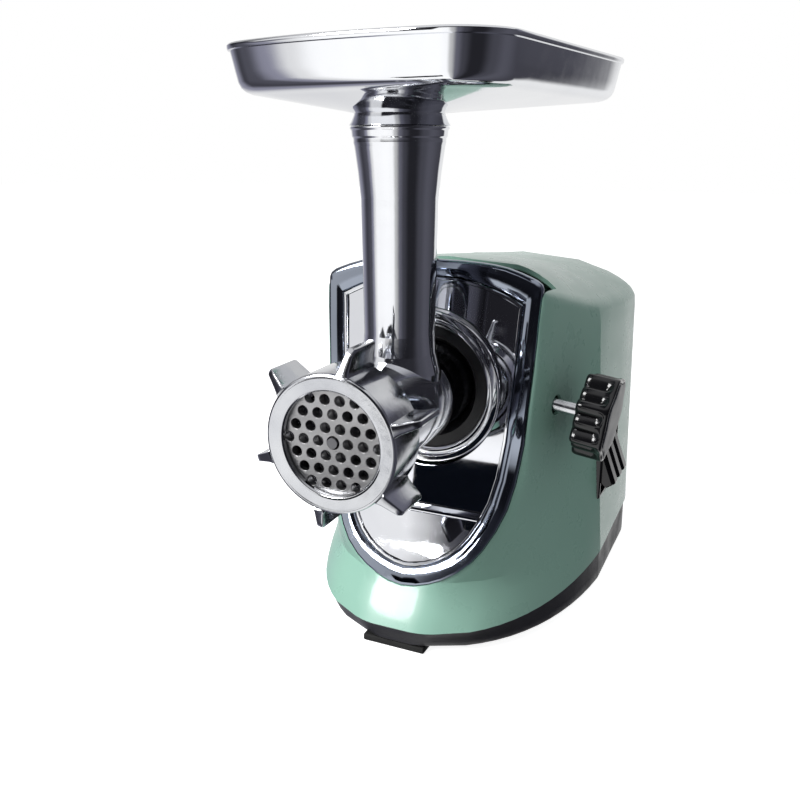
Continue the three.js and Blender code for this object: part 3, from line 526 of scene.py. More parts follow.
def half_outline(z, inset=0.0):
    """The right half of the housing's plan at a height, from the middle of the front to the middle of the rear."""
    front = front_back(z) + inset
    flat = smooth_along(flat_table, z) - inset * 0.4
    low = min(1, max(0, (z - 18) / 110))
    ease = low * low * (3 - 2 * low)
    half = BODY_HALF - inset
    crease_x = half + 1.5 - (z - 18) * 0.06
    crease_back = 0.667 * BODY_REAR
    bend_x = (half - 9) * (1 - ease) + (flat + crease_x) / 2 * ease
    bend_back = (front + 22) * (1 - ease) + (front + crease_back) / 2 * ease
    points = [(0, front), (flat, front)]
    steps = 14
    for k in range(3, steps):
        t = k / steps
        a, b, c = (1 - t) ** 2, 2 * t * (1 - t), t * t
        points.append((a * flat + b * bend_x + c * crease_x, a * front + b * bend_back + c * crease_back))
    points.append((crease_x, crease_back))
    points.append((half + 1.2 - (z - 18) * 0.03, (crease_back + BODY_REAR) / 2))
    points.append((half + 1 - (z - 18) * 0.02, BODY_REAR - inset))
    points.append((half * 0.5, BODY_REAR - inset))
    points.append((0, BODY_REAR - inset))
    corner = smooth_along([(18, 90), (60, 70), (95, 30), (120, 12), (150, 6)], z)
    radii = [0, corner] + [0] * (steps - 3) + [4, 0, 19, 0, 0]
    return rounded(points, radii)


def full_ring(z, inset=0.0, height=None):
    half = half_outline(z, inset)
    ring = half + [(-x, y) for x, y in reversed(half[1:-1])]
    return [(x, y, z if height is None else height(x, y)) for x, y in ring]


def top_height(x, back, drop=0.0):
    """Height of the crowned top at a place across and back."""
    t = min(1.1, max(-0.1, (back - 130) / (BODY_REAR - 142)))
    middle = BODY_TOP - 15 * t - drop
    edge = smooth_along([(-0.1, 222), (0, 221), (0.45, 202), (1, 197), (1.1, 196)], t) + BODY_TOP - 239 - drop
    half = smooth_along([(-0.1, 68), (0, 71), (0.45, 86), (1, BODY_HALF)], t)
    power = 4.4 - 1.9 * min(1, max(0, t * 1.6))
    u = min(1.25, abs(x) / half)
    return middle - (middle - edge) * u**power


# ---------- housing shell ----------
def panel_side(z):
    table = [
        (PANEL_BOTTOM, 0), (42, 9), (44.5, 18), (48, 26), (53, 34), (60, 42), (68, 48), (79, 54), (92, 59),
        (108, 62.5), (132, 65.5), (158, 67), (194, 69), (220, PANEL_HALF), (224, PANEL_HALF),
    ]
    return straight_along(table, z)


def panel_outline(shrink):
    """The front panel's outline let in by a distance, the same number of points whatever the distance."""
    heights = [42 + (44.5 - 42) * k / 2 for k in range(3)]
    heights += [48, 53, 60, 68, 79, 92, 108, 120, 132, 145, 158, 176, 194, 207, 220]
    side = [(panel_side(z), z) for z in heights]
    half = [(0, PANEL_BOTTOM)] + side
    deep = shrink > FRAME_BAND / 2
    moved = [(0, PANEL_BOTTOM + shrink)]
    for p, here, q in zip(half, half[1:], half[2:] + [(PANEL_HALF, 226)]):
        length = hypot(q[0] - p[0], q[1] - p[1])
        moved.append((
            max(0.6 * len(moved), here[0] - shrink * (q[1] - p[1]) / length),
            min(PANEL_TOP - shrink - 13, here[1] + shrink * (q[0] - p[0]) / length),
        ))
    h, top = PANEL_HALF - shrink, PANEL_TOP - shrink
    if deep:
        over = [(h, top - 12.4), (h, top - 12.2), (h - 0.2, top - 12.1), (h - 6, top - 9.2),
            (h - 12, top - 6.5)]
        over += [(h - 19, top - 4.1), (h - 26, top - 2.2), (h - 34, top - 0.6), (18, top + 0.6), (0, top + 1)]
    else:
        over = [(h, 224), (h - 1, 226.6 - shrink / 2), (h - 4, 228.8 - shrink / 2), (h - 8, 230.6 - shrink)]
        over += [(h - 14, 232.8 - shrink), (h - 22, 235.2 - shrink), (h - 30, 236.6 - shrink)]
        over += [(h - 38, 237.4 - shrink), (20, PANEL_TOP - shrink), (0, PANEL_TOP + 0.2 - shrink)]
    half = moved + over
    return half + [(-x, z) for x, z in reversed(half[1:-1])]


def panel_loop(shrink, depth):
    """A loop on the front surface of the housing, let in by shrink from the panel's edge and sunk by depth."""
    outer, inner = panel_outline(FIT_GAP), panel_outline(FRAME_BAND)
    share = (shrink - FIT_GAP) / (FRAME_BAND - FIT_GAP)
    loop = []
    for (x0, z0), (x1, z1) in zip(outer, inner):
        x, z = x0 + (x1 - x0) * share, z0 + (z1 - z0) * share
        loop.append((x, front_back(z) + depth, z))
    return loop


def panel_lean(z):
    """How far back the upper mirror lies at a height."""
    return front_back(160) + 1.2 + 0.125 * (z - AXIS_Z)


def panel_prism(shrink, start, end):
    outline = panel_outline(shrink)
    return skinned([[(x, start, z) for x, z in outline], [(x, end, z) for x, z in outline]])


def housing_rings(inset):
    """Levels of the housing from its seam to the middle of its crown, let in by a wall's thickness or by 0."""
    edge = 5.0 - inset * 0.5
    rings = []
    for share in (0, 0.08, 0.25, 0.45, 0.65, 0.85):
        below = 8 if inset and share == 0 else 0
        rings.append(full_ring(
            19 + 41 * share, inset, lambda x, y, s=share, b=below: seam_z(y) - b + (60 - seam_z(y)) * s))
    for z in (60, 68, 78, 88, 98, 108, 118, 130, 142, 154, 166, 178):
        rings.append(full_ring(z, inset))
    for share in (0.35, 0.7):
        rings.append(full_ring(
            178 + 14 * share, inset, lambda x, y, s=share: 178 + (top_height(x, y, inset) - edge - 178) * s))
    steps = 6
    for k in range(steps + 1):
        a = k / steps * pi / 2
        let_in, fall = edge * (1 - cos(a)), edge * (1 - sin(a))
        rings.append([(x, y, top_height(x, y, inset) - fall) for x, y, _ in full_ring(206, inset + let_in)])
    rim = full_ring(206, inset + edge)
    middle = (front_back(220) + BODY_REAR) / 2
    for k in range(1, 14):
        s = 1 - (k / 14) ** 0.9
        spots = [(x * s, middle + (y - middle) * s) for x, y, _ in rim]
        rings.append([(x, y, top_height(x, y, inset)) for x, y in spots])
    return rings


def housing_shell():
    switch_x = straight_along([(215, BODY_HALF - 3), (300, BODY_HALF)], SWITCH_BACK)
    half_l, half_h = SWITCH_LENGTH / 2, SWITCH_HEIGHT / 2
    cutters = [
        skinned(housing_rings(WALL)),
        panel_prism(0.0, 40, front_back(PANEL_TOP) + 28),
        turned_rod(6.5, 55, 110, axis=SCREW_AXIS, centre=(0, SCREW_BACK, AXIS_Z), steps=48),
        soft_box(
            (switch_x - 25, SWITCH_BACK - half_l, SWITCH_Z - half_h),
            (switch_x + 30, SWITCH_BACK + half_l, SWITCH_Z + half_h), 2.0,
        ),
        turned_rod(7, BODY_REAR - 20, BODY_REAR + 10, centre=(GLAND_X, 0, GLAND_Z), steps=32),
    ]
    for k in range(9):
        x = (k - 4) * 9
        cutters.append(soft_box((x - 2, BODY_REAR - 10, 92), (x + 2, BODY_REAR + 10, 132), 1.6, 2))
    return carved(skinned(housing_rings(0.0)), cutters)


new_piece("housing_shell_moulding", housing_shell(), mint, "housing", ["housing_shell"], 28)


# ---------- base and feet ----------
def base_pan():
    inset, gap = 1.2, FIT_GAP
    rings = [full_ring(FOOT_HEIGHT, inset + 2.0), full_ring(FOOT_HEIGHT + 0.6, inset + 0.7)]
    rings.append(full_ring(FOOT_HEIGHT + 2, inset))
    for share in (0.3, 0.6, 0.9):
        z = FOOT_HEIGHT + 2 + (18 - FOOT_HEIGHT - 2) * share
        rings.append(full_ring(z, inset, lambda x, y, s=share: FOOT_HEIGHT + 2 + (seam_z(y) - gap - 7) * s))
    rings.append(full_ring(18, inset, lambda x, y: seam_z(y) - gap - 0.5))
    rings.append(full_ring(18, inset + 0.5, lambda x, y: seam_z(y) - gap))
    rings.append(full_ring(18, inset + 6, lambda x, y: seam_z(y) - gap))
    return skinned(rings)


new_piece("base_pan_moulding", base_pan(), charcoal, "housing", ["base_pan"])
for foot in ("foot_front", "foot_rear_left", "foot_rear_right"):
    low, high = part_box(foot)
    low = (low.x / MM, (low.y - FRONT_Y) / MM, low.z / MM)
    high = (high.x / MM, (high.y - FRONT_Y) / MM, high.z / MM)
    new_piece(foot + "_pad", soft_box(low, high, 1.2), rubber, "housing", [foot])


# ---------- front frame, trim and mirrors ----------
def front_frame():
    bulge = 1.2
    section = [(FIT_GAP, FRAME_SINK - 0.4), (FIT_GAP, 0.6), (FIT_GAP + 0.5, -0.5), (FIT_GAP + 1.6, -bulge)]
    section += [(FRAME_BAND / 2, -bulge), (FRAME_BAND - 1.6, -bulge + 0.1), (FRAME_BAND - 0.5, -0.6)]
    section += [(FRAME_BAND, 0.3), (FRAME_BAND, FRAME_SINK - 0.4)]
    return skinned([panel_loop(s, d) for s, d in section], False, False, join_ends=True)


def frame_trim():
    near, far = FRAME_BAND + FIT_GAP, FRAME_BAND + 2
    section = [(near, 3.4), (near, -0.1), (near + 0.3, -0.6), (far - 0.3, -0.6), (far, -0.1), (far, 3.4)]
    return skinned([panel_loop(s, d) for s, d in section], False, False, join_ends=True)


def upper_mirror():
    outline = [(x, z) for x, z in panel_outline(FRAME_BAND + 2.4) if z > LEDGE_Z + 3]
    right = [p for p in outline if p[0] >= 0]
    left = [p for p in outline if p[0] < 0]
    foot_half = right[0][0] - 1.5
    ring = [(foot_half, LEDGE_Z + FIT_GAP)] + right + left + [(-foot_half, LEDGE_Z + FIT_GAP)]
    front = [(x, panel_lean(z), z) for x, z in ring]
    back = [(x, panel_lean(z) + MIRROR_SHEET, z) for x, z in ring]
    hole = turned_rod(COLLAR_RADIUS + FIT_GAP, 60, 170)
    return carved(skinned([front, back]), [hole])


def lower_mirror():
    outline = panel_outline(FRAME_BAND + 2.4)
    edge = sorted((z, x) for x, z in outline if x >= 0 and z < LEDGE_Z + 20)
    foot = edge[0][0]
    rings = []

    def strip(z, near, far):
        x = max(0.8, straight_along(edge, z))
        return [(-x, near, z), (-x / 3, near, z), (x / 3, near, z), (x, near, z),
                (x, far, z), (x / 3, far, z), (-x / 3, far, z), (-x, far, z)]

    for k in range(15):
        z = foot + 0.2 + (LEDGE_Z - 3.4 - foot) * k / 14
        rings.append(strip(z, front_back(z) + 0.4, front_back(z) + 3.4))
    ledge_back = panel_lean(LEDGE_Z) + MIRROR_SHEET
    lip = front_back(LEDGE_Z) - 1.0
    rings.append(strip(LEDGE_Z - 3.15, lip + 1.4, lip + 5))
    rings.append(strip(LEDGE_Z - 3.1, lip + 0.5, ledge_back))
    rings.append(strip(LEDGE_Z - 2.6, lip, ledge_back))
    rings.append(strip(LEDGE_Z - 0.6, lip, ledge_back))
    rings.append(strip(LEDGE_Z - 0.15, lip + 0.2, ledge_back))
    rings.append(strip(LEDGE_Z, lip + 0.7, ledge_back))
    return skinned(rings)


new_piece("front_frame_band", front_frame(), black_chrome, "housing", ["front_frame"])
new_piece("frame_trim_line", frame_trim(), plated, "housing", ["frame_trim"])
new_piece("upper_mirror_sheet", upper_mirror(), mirror, "housing", ["upper_mirror"])
new_piece("lower_mirror_sheet", lower_mirror(), mirror, "housing", ["lower_mirror"])


# ---------- socket ----------
collar_front = front_back(160) - 1
cup_radius = COLLAR_RADIUS - 10


def socket_collar():
    c, f = cup_radius, collar_front
    return turned(softened([
        (c + 0.3, f + 13), (c + 0.3, f + 3.2), (c + 1.5, f + 1.4), (c + 3.4, f + 1.4), (c + 4.0, f + 2.0),
        (c + 4.6, f + 1.0), (c + 5.4, f), (c + 8.6, f), (c + 9.6, f + 0.5), (c + 10, f + 1.4),
        (c + 10, f + 13),
    ], 0.35))


new_piece("socket_collar_ring", socket_collar(), plated, "housing", ["socket_collar"])


# ---------- grinding head ----------
THREAD_RADIUS = RING_RADIUS - 3.4
SPIGOT_RADIUS = 27.0
SPIGOT_FRONT = 126.0
PLATE_FRONT = 4.3
SEAT = PLATE_FRONT + 5.3
TUBE_AT = (0, TUBE_BACK, 0)


def head_barrel():
    barrel = turned(softened([
        (0, 5.5), (THREAD_RADIUS, 5.5), (THREAD_RADIUS, 29), (BARREL_RADIUS + 1, 31), (BARREL_RADIUS, 34),
        (BARREL_RADIUS, 96), (BARREL_RADIUS - 1.2, 103), (BARREL_RADIUS - 3, 108), (BARREL_RADIUS - 3, 122),
        (SPIGOT_RADIUS, SPIGOT_FRONT), (SPIGOT_RADIUS, 159), (SPIGOT_RADIUS - 1, 160), (0, 160),
    ], 0.8), steps=112)
    tube = turned(softened([
        (0, AXIS_Z + 4), (TUBE_RADIUS + 4, AXIS_Z + 4), (TUBE_RADIUS + 4, AXIS_Z + 20),
        (TUBE_RADIUS + 2.4, AXIS_Z + 26), (TUBE_RADIUS + 1, AXIS_Z + 31), (TUBE_RADIUS, AXIS_Z + 42),
        (TUBE_RADIUS + 0.6, 240), (TUBE_RADIUS + 1.2, 276), (TUBE_RADIUS + 2.6, 290),
        (TUBE_RADIUS + 4.4, 303),
        (TUBE_RADIUS + 4.9, 305), (TUBE_RADIUS + 4.9, 307), (TUBE_RADIUS + 5.6, 308),
        (TUBE_RADIUS + 5.9, 311),
        (TUBE_RADIUS + 6.6, 312), (TUBE_RADIUS + 6.6, TUBE_TOP), (0, TUBE_TOP),
    ], 0.9), axis=UP, centre=TUBE_AT, steps=112)
    tube_bore = turned([
        (0, AXIS_Z), (TUBE_RADIUS - 2.8, AXIS_Z), (TUBE_RADIUS - 2.8, 288), (TUBE_RADIUS - 0.6, 292),
        (TUBE_RADIUS - 0.6, TUBE_TOP + 5), (0, TUBE_TOP + 5),
    ], axis=UP, centre=TUBE_AT, steps=96)
    barrel_bore = turned([
        (0, 0), (PLATE_RADIUS + 0.3, 0), (PLATE_RADIUS + 0.3, SEAT), (25.5, SEAT), (25.5, 104), (9.5, 106),
        (9.5, 120), (22, 124), (22, 165), (0, 165),
    ], steps=96)
    return carved(carved(barrel, [tube], "UNION"), [tube_bore, barrel_bore])


new_piece("head_casting", head_barrel(), casting, "head", ["head_barrel"], 30)


# ---------- cutting plate ----------
def cutting_plate():
    front, rear = PLATE_FRONT, PLATE_FRONT + 5
    disc = turned(softened([
        (0, front), (PLATE_RADIUS, front), (PLATE_RADIUS, rear), (0, rear)], 0.5), steps=112)
    drills = bmesh.new()
    pitch, radius, chamfer = 8.5, 2.75, 0.3
    spots = [(0.0, 0.0, 3.4)]
    for row in range(-3, 4):
        for k in range(-4, 5):
            x = k * pitch + (pitch / 2 if row % 2 else 0)
            z = row * pitch * 0.866
            if 6 < hypot(x, z) < PLATE_RADIUS - 3:
                spots.append((x, z, radius))
    for x, z, r in spots:
        profile = [(0, front - 1), (r + chamfer + 1, front - 1), (r, front + chamfer), (r, rear + 1),
            (0, rear + 1)]
        drill = turned(profile, centre=(x, 0, AXIS_Z + z), steps=28)
        mesh = as_mesh(drill, "plate_drill")
        drills.from_mesh(mesh)
        bpy.data.meshes.remove(mesh)
    return carved(disc, [drills])


new_piece("cutting_plate_disc", cutting_plate(), plate_steel, "plate", ["cutting_plate"], 25)


# ---------- ring nut ----------
def ring_lugs():
    """Six thin fins on the ring, each swept outwards and leaning back at its front edge."""
    stations = [
        (33.6, 8.4), (35.8, 8.0), (37.0, 7.0), (38.2, 6.1), (40.0, 5.5), (43.0, 4.9), (46.0, 4.3),
        (48.6, 3.8),
        (49.5, 3.3), (49.95, 2.0),
    ]
    rings = []
    for radius, thick in stations:
        lean = max(0.0, 0.45 * (radius - 36.8)) if radius > 36.8 else 0.9
        end = 0.0 if radius < 48.6 else (radius - 48.6) * 0.8
        half, nose = thick / 2, min(1.3, thick / 2 - 0.2)
        front, rear = max(0.15, lean) + end, RING_DEPTH - 0.1 - end
        outline = rounded([
            (0, front), (half, front), (half, rear), (-half, rear), (-half, front), (0, front),
        ], [0, nose, 0.6, 0.6, nose, 0], 4)[:-1]
        turn = Matrix.Rotation(-LUG_TURN, 3, "Y")
        rings.append([tuple(Vector((0, 0, AXIS_Z)) + turn @ Vector((radius, y, t))) for t, y in outline])
    fins = skinned(rings)
    bmesh.ops.spin(
        fins, geom=fins.verts[:] + fins.edges[:] + fins.faces[:], cent=(0, 0, AXIS_Z), axis=BACK,
        angle=2 * pi * (LUG_COUNT - 1) / LUG_COUNT, steps=LUG_COUNT - 1, use_duplicate=True,
    )
    return fins


def ring_nut():
    r, o = RING_RADIUS, RING_OPENING
    body = turned(softened([
        (o, 1.6), (o + 0.8, 0.8), (o + 1.8, 0.95), (r - 2.6, 0.25), (r - 1.6, 0.0), (r - 0.5, 0.5), (r, 1.8),
        (r, RING_DEPTH - 1.4), (r - 1.0, RING_DEPTH - 0.1), (THREAD_RADIUS + 0.4, RING_DEPTH - 0.1),
        (THREAD_RADIUS + 0.4, 4), (o, 4), (o, 1.6),
    ], 0.5)[:-1], steps=128)
    return carved(body, [ring_lugs()], "UNION")


new_piece("ring_nut_casting", ring_nut(), ring_casting, "ring", ["ring_nut"], 30)


# ---------- tray ----------
def pan_ring(z, inset):
    """One level of the tray's pan: round corners, a bowed front edge, turned a little on its spout."""
    x0, x1, y0, y1 = -TRAY_LEFT + inset, TRAY_RIGHT - inset, -TRAY_FRONT + inset, TRAY_BACK - inset
    r = max(4, 26 - inset * 0.4)
    points = []
    corners = [(x1 - r, y1 - r, 0), (x0 + r, y1 - r, 90), (x0 + r, y0 + r, 180), (x1 - r, y0 + r, 270)]
    for n, (cx, cy, start) in enumerate(corners):
        for k in range(11):
            a = radians(start + k * 9)
            points.append((cx + r * cos(a), cy + r * sin(a)))
        nx, ny = corners[(n + 1) % 4][:2]
        a = radians(start + 90)
        ex, ey = r * cos(a), r * sin(a)
        for k in range(1, 9):
            points.append((cx + ex + (nx - cx) * k / 9, cy + ey + (ny - cy) * k / 9))
    ring = []
    for x, y in points:
        if y < 0:
            y -= 12 * (1 - ((2 * x - x0 - x1) / (x1 - x0)) ** 2) * min(1, -y / 20)
        c, s = cos(TRAY_TURN), sin(TRAY_TURN)
        ring.append((c * x - s * y, TUBE_BACK + s * x + c * y, z))
    return ring


def spout_ring(z, radius):
    ring = []
    for x, y, _ in pan_ring(z, 0):
        a = atan2(y - TUBE_BACK, x)
        ring.append((radius * cos(a), TUBE_BACK + radius * sin(a), z))
    return ring


def between(first, last, share, rise):
    return [(a[0] + (b[0] - a[0]) * share, a[1] + (b[1] - a[1]) * share, a[2] + (b[2] - a[2]) * rise)
            for a, b in zip(first, last)]


def tray_pan():
    sleeve = TUBE_RADIUS - 0.6 - FIT_GAP
    spout_top = TRAY_FLOOR - TRAY_FALL
    neck = 21.5
    t = TRAY_SHEET
    rings = []
    outside = [
        (sleeve, 292.8), (sleeve, TUBE_TOP + 0.3), (TUBE_RADIUS + 6.4, TUBE_TOP + 0.3),
        (TUBE_RADIUS + 7.0, TUBE_TOP + 0.7), (TUBE_RADIUS + 6.7, TUBE_TOP + 1.2),
        (TUBE_RADIUS + 6.0, TUBE_TOP + 2.2),
        (TUBE_RADIUS + 5.2, spout_top - 3), (TUBE_RADIUS + 4.4, spout_top - 1.2),
        (TUBE_RADIUS + 4.3, spout_top - 0.4),
        (neck + 3.4, spout_top),
    ]
    for radius, z in outside:
        rings.append(spout_ring(z, radius))
    neck_ring, floor_ring = spout_ring(spout_top, neck + 3), pan_ring(TRAY_FLOOR, 12)
    for k in range(1, 8):
        rings.append(between(neck_ring, floor_ring, k / 8, k / 8))
    wall = [
        (TRAY_FLOOR, 12), (TRAY_FLOOR + 0.5, 9.6), (TRAY_FLOOR + 1.6, 7.2), (TRAY_FLOOR + 3.4, 5.4),
        (TRAY_FLOOR + 6, 4.2), (TRAY_FLOOR + 11, 3.2), (TRAY_FLOOR + 16, 2.3), (TRAY_RIM - 3.6, 1.3),
    ]
    for z, inset in wall:
        rings.append(pan_ring(z, inset))
    for z, inset in ((TRAY_RIM - 3.2, 0.35), (TRAY_RIM - 2.4, 0.05), (TRAY_RIM - 1.0, 0.0),
        (TRAY_RIM - 0.3, 0.5),
                     (TRAY_RIM, 1.3), (TRAY_RIM - 0.3, 2.2), (TRAY_RIM - 1.4, 2.6)):
        rings.append(pan_ring(z, inset))
    for z, inset in reversed(wall[:-1]):
        rings.append(pan_ring(z + (t if z < TRAY_FLOOR + 5 else 0), inset + t))
    inner_neck, inner_floor = spout_ring(spout_top + t, neck + 2), pan_ring(TRAY_FLOOR + t, 12 + t)
    for k in range(7, 0, -1):
        rings.append(between(inner_neck, inner_floor, k / 8, k / 8))
    for radius, z in ((neck + 2, spout_top + t), (neck - 1.4, spout_top + t - 0.4),
        (sleeve - t, spout_top - 1.2),
                      (sleeve - t, 293.2), (sleeve - t / 2, 292.8)):
        rings.append(spout_ring(z, radius))
    return skinned(rings, False, False, join_ends=True)


new_piece("tray_pan_sheet", tray_pan(), tray_steel, "tray", ["tray"], 40)


# ---------- lock screw and knob ----------
screw_at = dict(axis=SCREW_AXIS, centre=(0, SCREW_BACK, AXIS_Z))


def lobed_ring(distance, radius, scoop, ridge, count=168):
    """A ring round the lock screw's axis with the knob's seven lobes and its finer ridges."""
    side = BACK
    up = SCREW_AXIS.cross(side)
    centre = Vector((0, SCREW_BACK, AXIS_Z)) + SCREW_AXIS * distance
    ring = []
    for k in range(count):
        a = 2 * pi * k / count
        r = radius - scoop * (1 - cos(KNOB_LOBES * a)) / 2 - ridge * (1 - abs(cos(KNOB_LOBES * a)))
        ring.append(tuple(centre + side * (r * cos(a)) + up * (r * sin(a))))
    return ring


def lock_knob():
    top = KNOB_RADIUS
    inner, outer = KNOB_INNER, KNOB_OUTER
    rings = [
        lobed_ring(inner, 8.5, 0, 0), lobed_ring(inner, 12, 0.4, 0.3), lobed_ring(inner, top - 3.0, 3.0, 3.0),
        lobed_ring(inner + 0.15, top - 2.0, 3.0, 3.2), lobed_ring(inner + 0.7, top - 0.8, 3.0, 3.4),
        lobed_ring(inner + 2.0, top - 0.2, 3.0, 3.4), lobed_ring(inner + 4, top, 3.0, 3.4),
        lobed_ring(outer - 7.0, top, 3.0, 3.4), lobed_ring(outer - 5.4, top - 0.05, 3.0, 3.0),
        lobed_ring(outer - 3.2, top, 2.6, 0.8), lobed_ring(outer - 2.4, top, 2.6, 0.2),
        lobed_ring(outer - 1.0, top - 0.1, 2.6, 0.0), lobed_ring(outer - 0.3, top - 0.6, 2.6, 0.0),
        lobed_ring(outer, top - 1.4, 2.6, 0.0), lobed_ring(outer - 0.2, top - 2.0, 2.6, 0.0),
        lobed_ring(outer - 2.0, top - 2.2, 2.6, 0.0), lobed_ring(outer - 2.0, 12, 0.5, 0.0),
    ]
    knob = skinned(rings)
    bore = turned_rod(4.3, inner - 1, inner + 9.3, steps=40, **screw_at)
    return carved(knob, [bore])


def knob_cap():
    top, outer = KNOB_RADIUS - 2.5, KNOB_OUTER
    rings = [
        lobed_ring(outer - 1.6, top, 2.6, 0), lobed_ring(outer - 0.4, top, 2.6, 0),
        lobed_ring(outer + 0.15, top - 0.3, 2.6, 0), lobed_ring(outer + 0.5, top - 1.0, 2.5, 0),
        lobed_ring(outer + 0.7, top - 2.4, 2.2, 0), lobed_ring(outer + 0.95, top - 8, 1.2, 0),
        lobed_ring(outer + 1.1, top - 15, 0.4, 0), lobed_ring(outer + 1.2, 2.5, 0, 0),
    ]
    return skinned(rings)


def lock_screw():
    tip = SPIGOT_RADIUS + FIT_GAP
    return turned(softened([(0, tip), (3, tip), (4, tip + 1.2), (4, KNOB_INNER + 9), (0, KNOB_INNER + 9)],
        0.3),
                  steps=48, **screw_at)


new_piece("lock_screw_shaft", lock_screw(), shaft_steel, "lock_screw", ["lock_screw"])
new_piece("lock_knob_grip", lock_knob(), knob_black, "knob", ["lock_knob"], 45)
new_piece("knob_cap_disc", knob_cap(), slate, "knob", ["knob_cap"], 45)


# ---------- switch ----------
SWITCH_X = straight_along([(215, BODY_HALF - 3), (300, BODY_HALF)], SWITCH_BACK)
SLOT_START, SLOT_END = SWITCH_BACK - SWITCH_LENGTH / 2, SWITCH_BACK + SWITCH_LENGTH / 2
SLOT_LOW, SLOT_HIGH = SWITCH_Z - SWITCH_HEIGHT / 2, SWITCH_Z + SWITCH_HEIGHT / 2
BEZEL_RIM = 2.4


def switch_bezel():
    inner, outer = SWITCH_X - 16, SWITCH_X + 1.4
    body = soft_box((inner, SLOT_START + 0.3, SLOT_LOW + 0.3), (outer, SLOT_END - 0.3, SLOT_HIGH - 0.3), 1.0)
    well = soft_box((inner + 2, SLOT_START + BEZEL_RIM, SLOT_LOW + BEZEL_RIM),
                    (outer + 6, SLOT_END - BEZEL_RIM, SLOT_HIGH - BEZEL_RIM), 1.0)
    return carved(body, [well])


def switch_rocker():
    """A paddle that slopes down and outwards, with three ribs across it."""
    px, pz = SWITCH_X - 3, SWITCH_Z + 7
    start, end = SLOT_START + BEZEL_RIM + 0.8, SLOT_END - BEZEL_RIM - 0.8
    step = (end - start) / 3
    rings = []
    stations = [start, start + 0.5]
    for k in range(3):
        middle = start + (k + 0.5) * step
        for d in (-0.30, -0.26, -0.22, -0.15, 0, 0.15, 0.22, 0.26, 0.30):
            stations.append(middle + d * step)
    stations += [end - 0.5, end]
    for y in stations:
        near = min(abs(y - (start + (k + 0.5) * step)) for k in range(3)) / step
        lift = 1.6 * min(1, max(0, (0.30 - near) / 0.08))
        shy = 0.5 if y in (start, end) else 0.0
        profile = rounded([
            (px - 7 + shy, pz), (px - 7 + shy, pz - 6), (px + 8 + lift - shy, pz - 21 + shy),
            (px + 12 + lift - shy, pz - 18), (px + 2 + lift - shy, pz + 9 - shy), (px - 4, pz + 9 - shy),
            (px - 7 + shy, pz + 4), (px - 7 + shy, pz),
        ], [0, 0.5, 1.2, 1.4, 1.0, 0.6, 0.6, 0], 3)[:-1]
        rings.append([(x, y, z) for x, z in profile])
    return skinned(rings)


def cord_gland():
    return turned(softened([
        (0, BODY_REAR - 9), (9, BODY_REAR - 9), (9, BODY_REAR - 3.3), (6.7, BODY_REAR - 3.3),
        (6.7, BODY_REAR + 0.3),
        (9, BODY_REAR + 0.3), (8, BODY_REAR + 4), (4.5, BODY_REAR + 11.9), (0, BODY_REAR + 11.9),
    ], 0.5), centre=(GLAND_X, 0, GLAND_Z), steps=48)


new_piece("switch_bezel_frame", switch_bezel(), knob_black, "housing", ["switch_bezel"])
new_piece("switch_rocker_paddle", switch_rocker(), knob_black, "rocker", ["switch_rocker"])
new_piece("cord_gland_sleeve", cord_gland(), rubber, "housing", ["cord_gland"])

# ---------- inner parts keep their shape and take a finish ----------
inner_finish = {
    "socket_cup": socket_black, "lock_insert": brass, "output_gear": nylon, "output_shaft": shaft_steel,
    "idler_gear": shaft_steel, "idler_shaft": shaft_steel, "gearbox_front": cast_case,
    "gearbox_rear": cast_case,
    "motor_stator": laminations, "field_coil_upper": copper, "field_coil_lower": copper,
    "rotor_shaft": shaft_steel, "rotor_core": laminations, "commutator": copper, "motor_fan": fan_black,
    "motor_pinion": shaft_steel, "brush_holder_left": brass, "brush_holder_right": brass,
    "motor_bracket": cast_case, "knife": plate_steel, "auger": auger_casting, "switch_body": charcoal,
}
for node, finish in inner_finish.items():
    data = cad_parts[node].data
    data.materials.clear()
    data.materials.append(finish)

# ---------- studio ----------
scene = bpy.context.scene
scene.view_settings.view_transform = "Standard"
scene.view_settings.look = "None"


def plain_surface(name, colour, glow=0.0):
    material = bpy.data.materials.new(name)
    material.use_nodes = True
    shader = material.node_tree.nodes["Principled BSDF"]
    shader.inputs["Base Color"].default_value = (*colour, 1)
    shader.inputs["Roughness"].default_value = 0.9
    shader.inputs["Specular IOR Level"].default_value = 0.0
    if glow:
        shader.inputs["Emission Color"].default_value = (*colour, 1)
        shader.inputs["Emission Strength"].default_value = glow
    return material


def stage_sheet(name, centre, normal, width, height, material):
    bm = bmesh.new()
    bmesh.ops.create_grid(bm, x_segments=1, y_segments=1, size=0.5)
    bmesh.ops.scale(bm, vec=(width, height, 1), verts=bm.verts)
    turn = Vector(normal).to_track_quat("Z", "Y").to_matrix().to_4x4()
    bmesh.ops.transform(bm, matrix=Matrix.Translation(centre) @ turn, verts=bm.verts)
    mesh = bpy.data.meshes.new(name)
    bm.to_mesh(mesh)
    bm.free()
    mesh.materials.append(material)
    sheet = bpy.data.objects.new(name, mesh)
    scene.collection.objects.link(sheet)
    return sheet


floor = stage_sheet("studio_floor", (0, 0, -0.0002), (0, 0, 1), 12, 12,
    plain_surface("floor_white", (0.93, 0.93, 0.93), 0.95))
floor.visible_glossy = False
floor.visible_diffuse = False

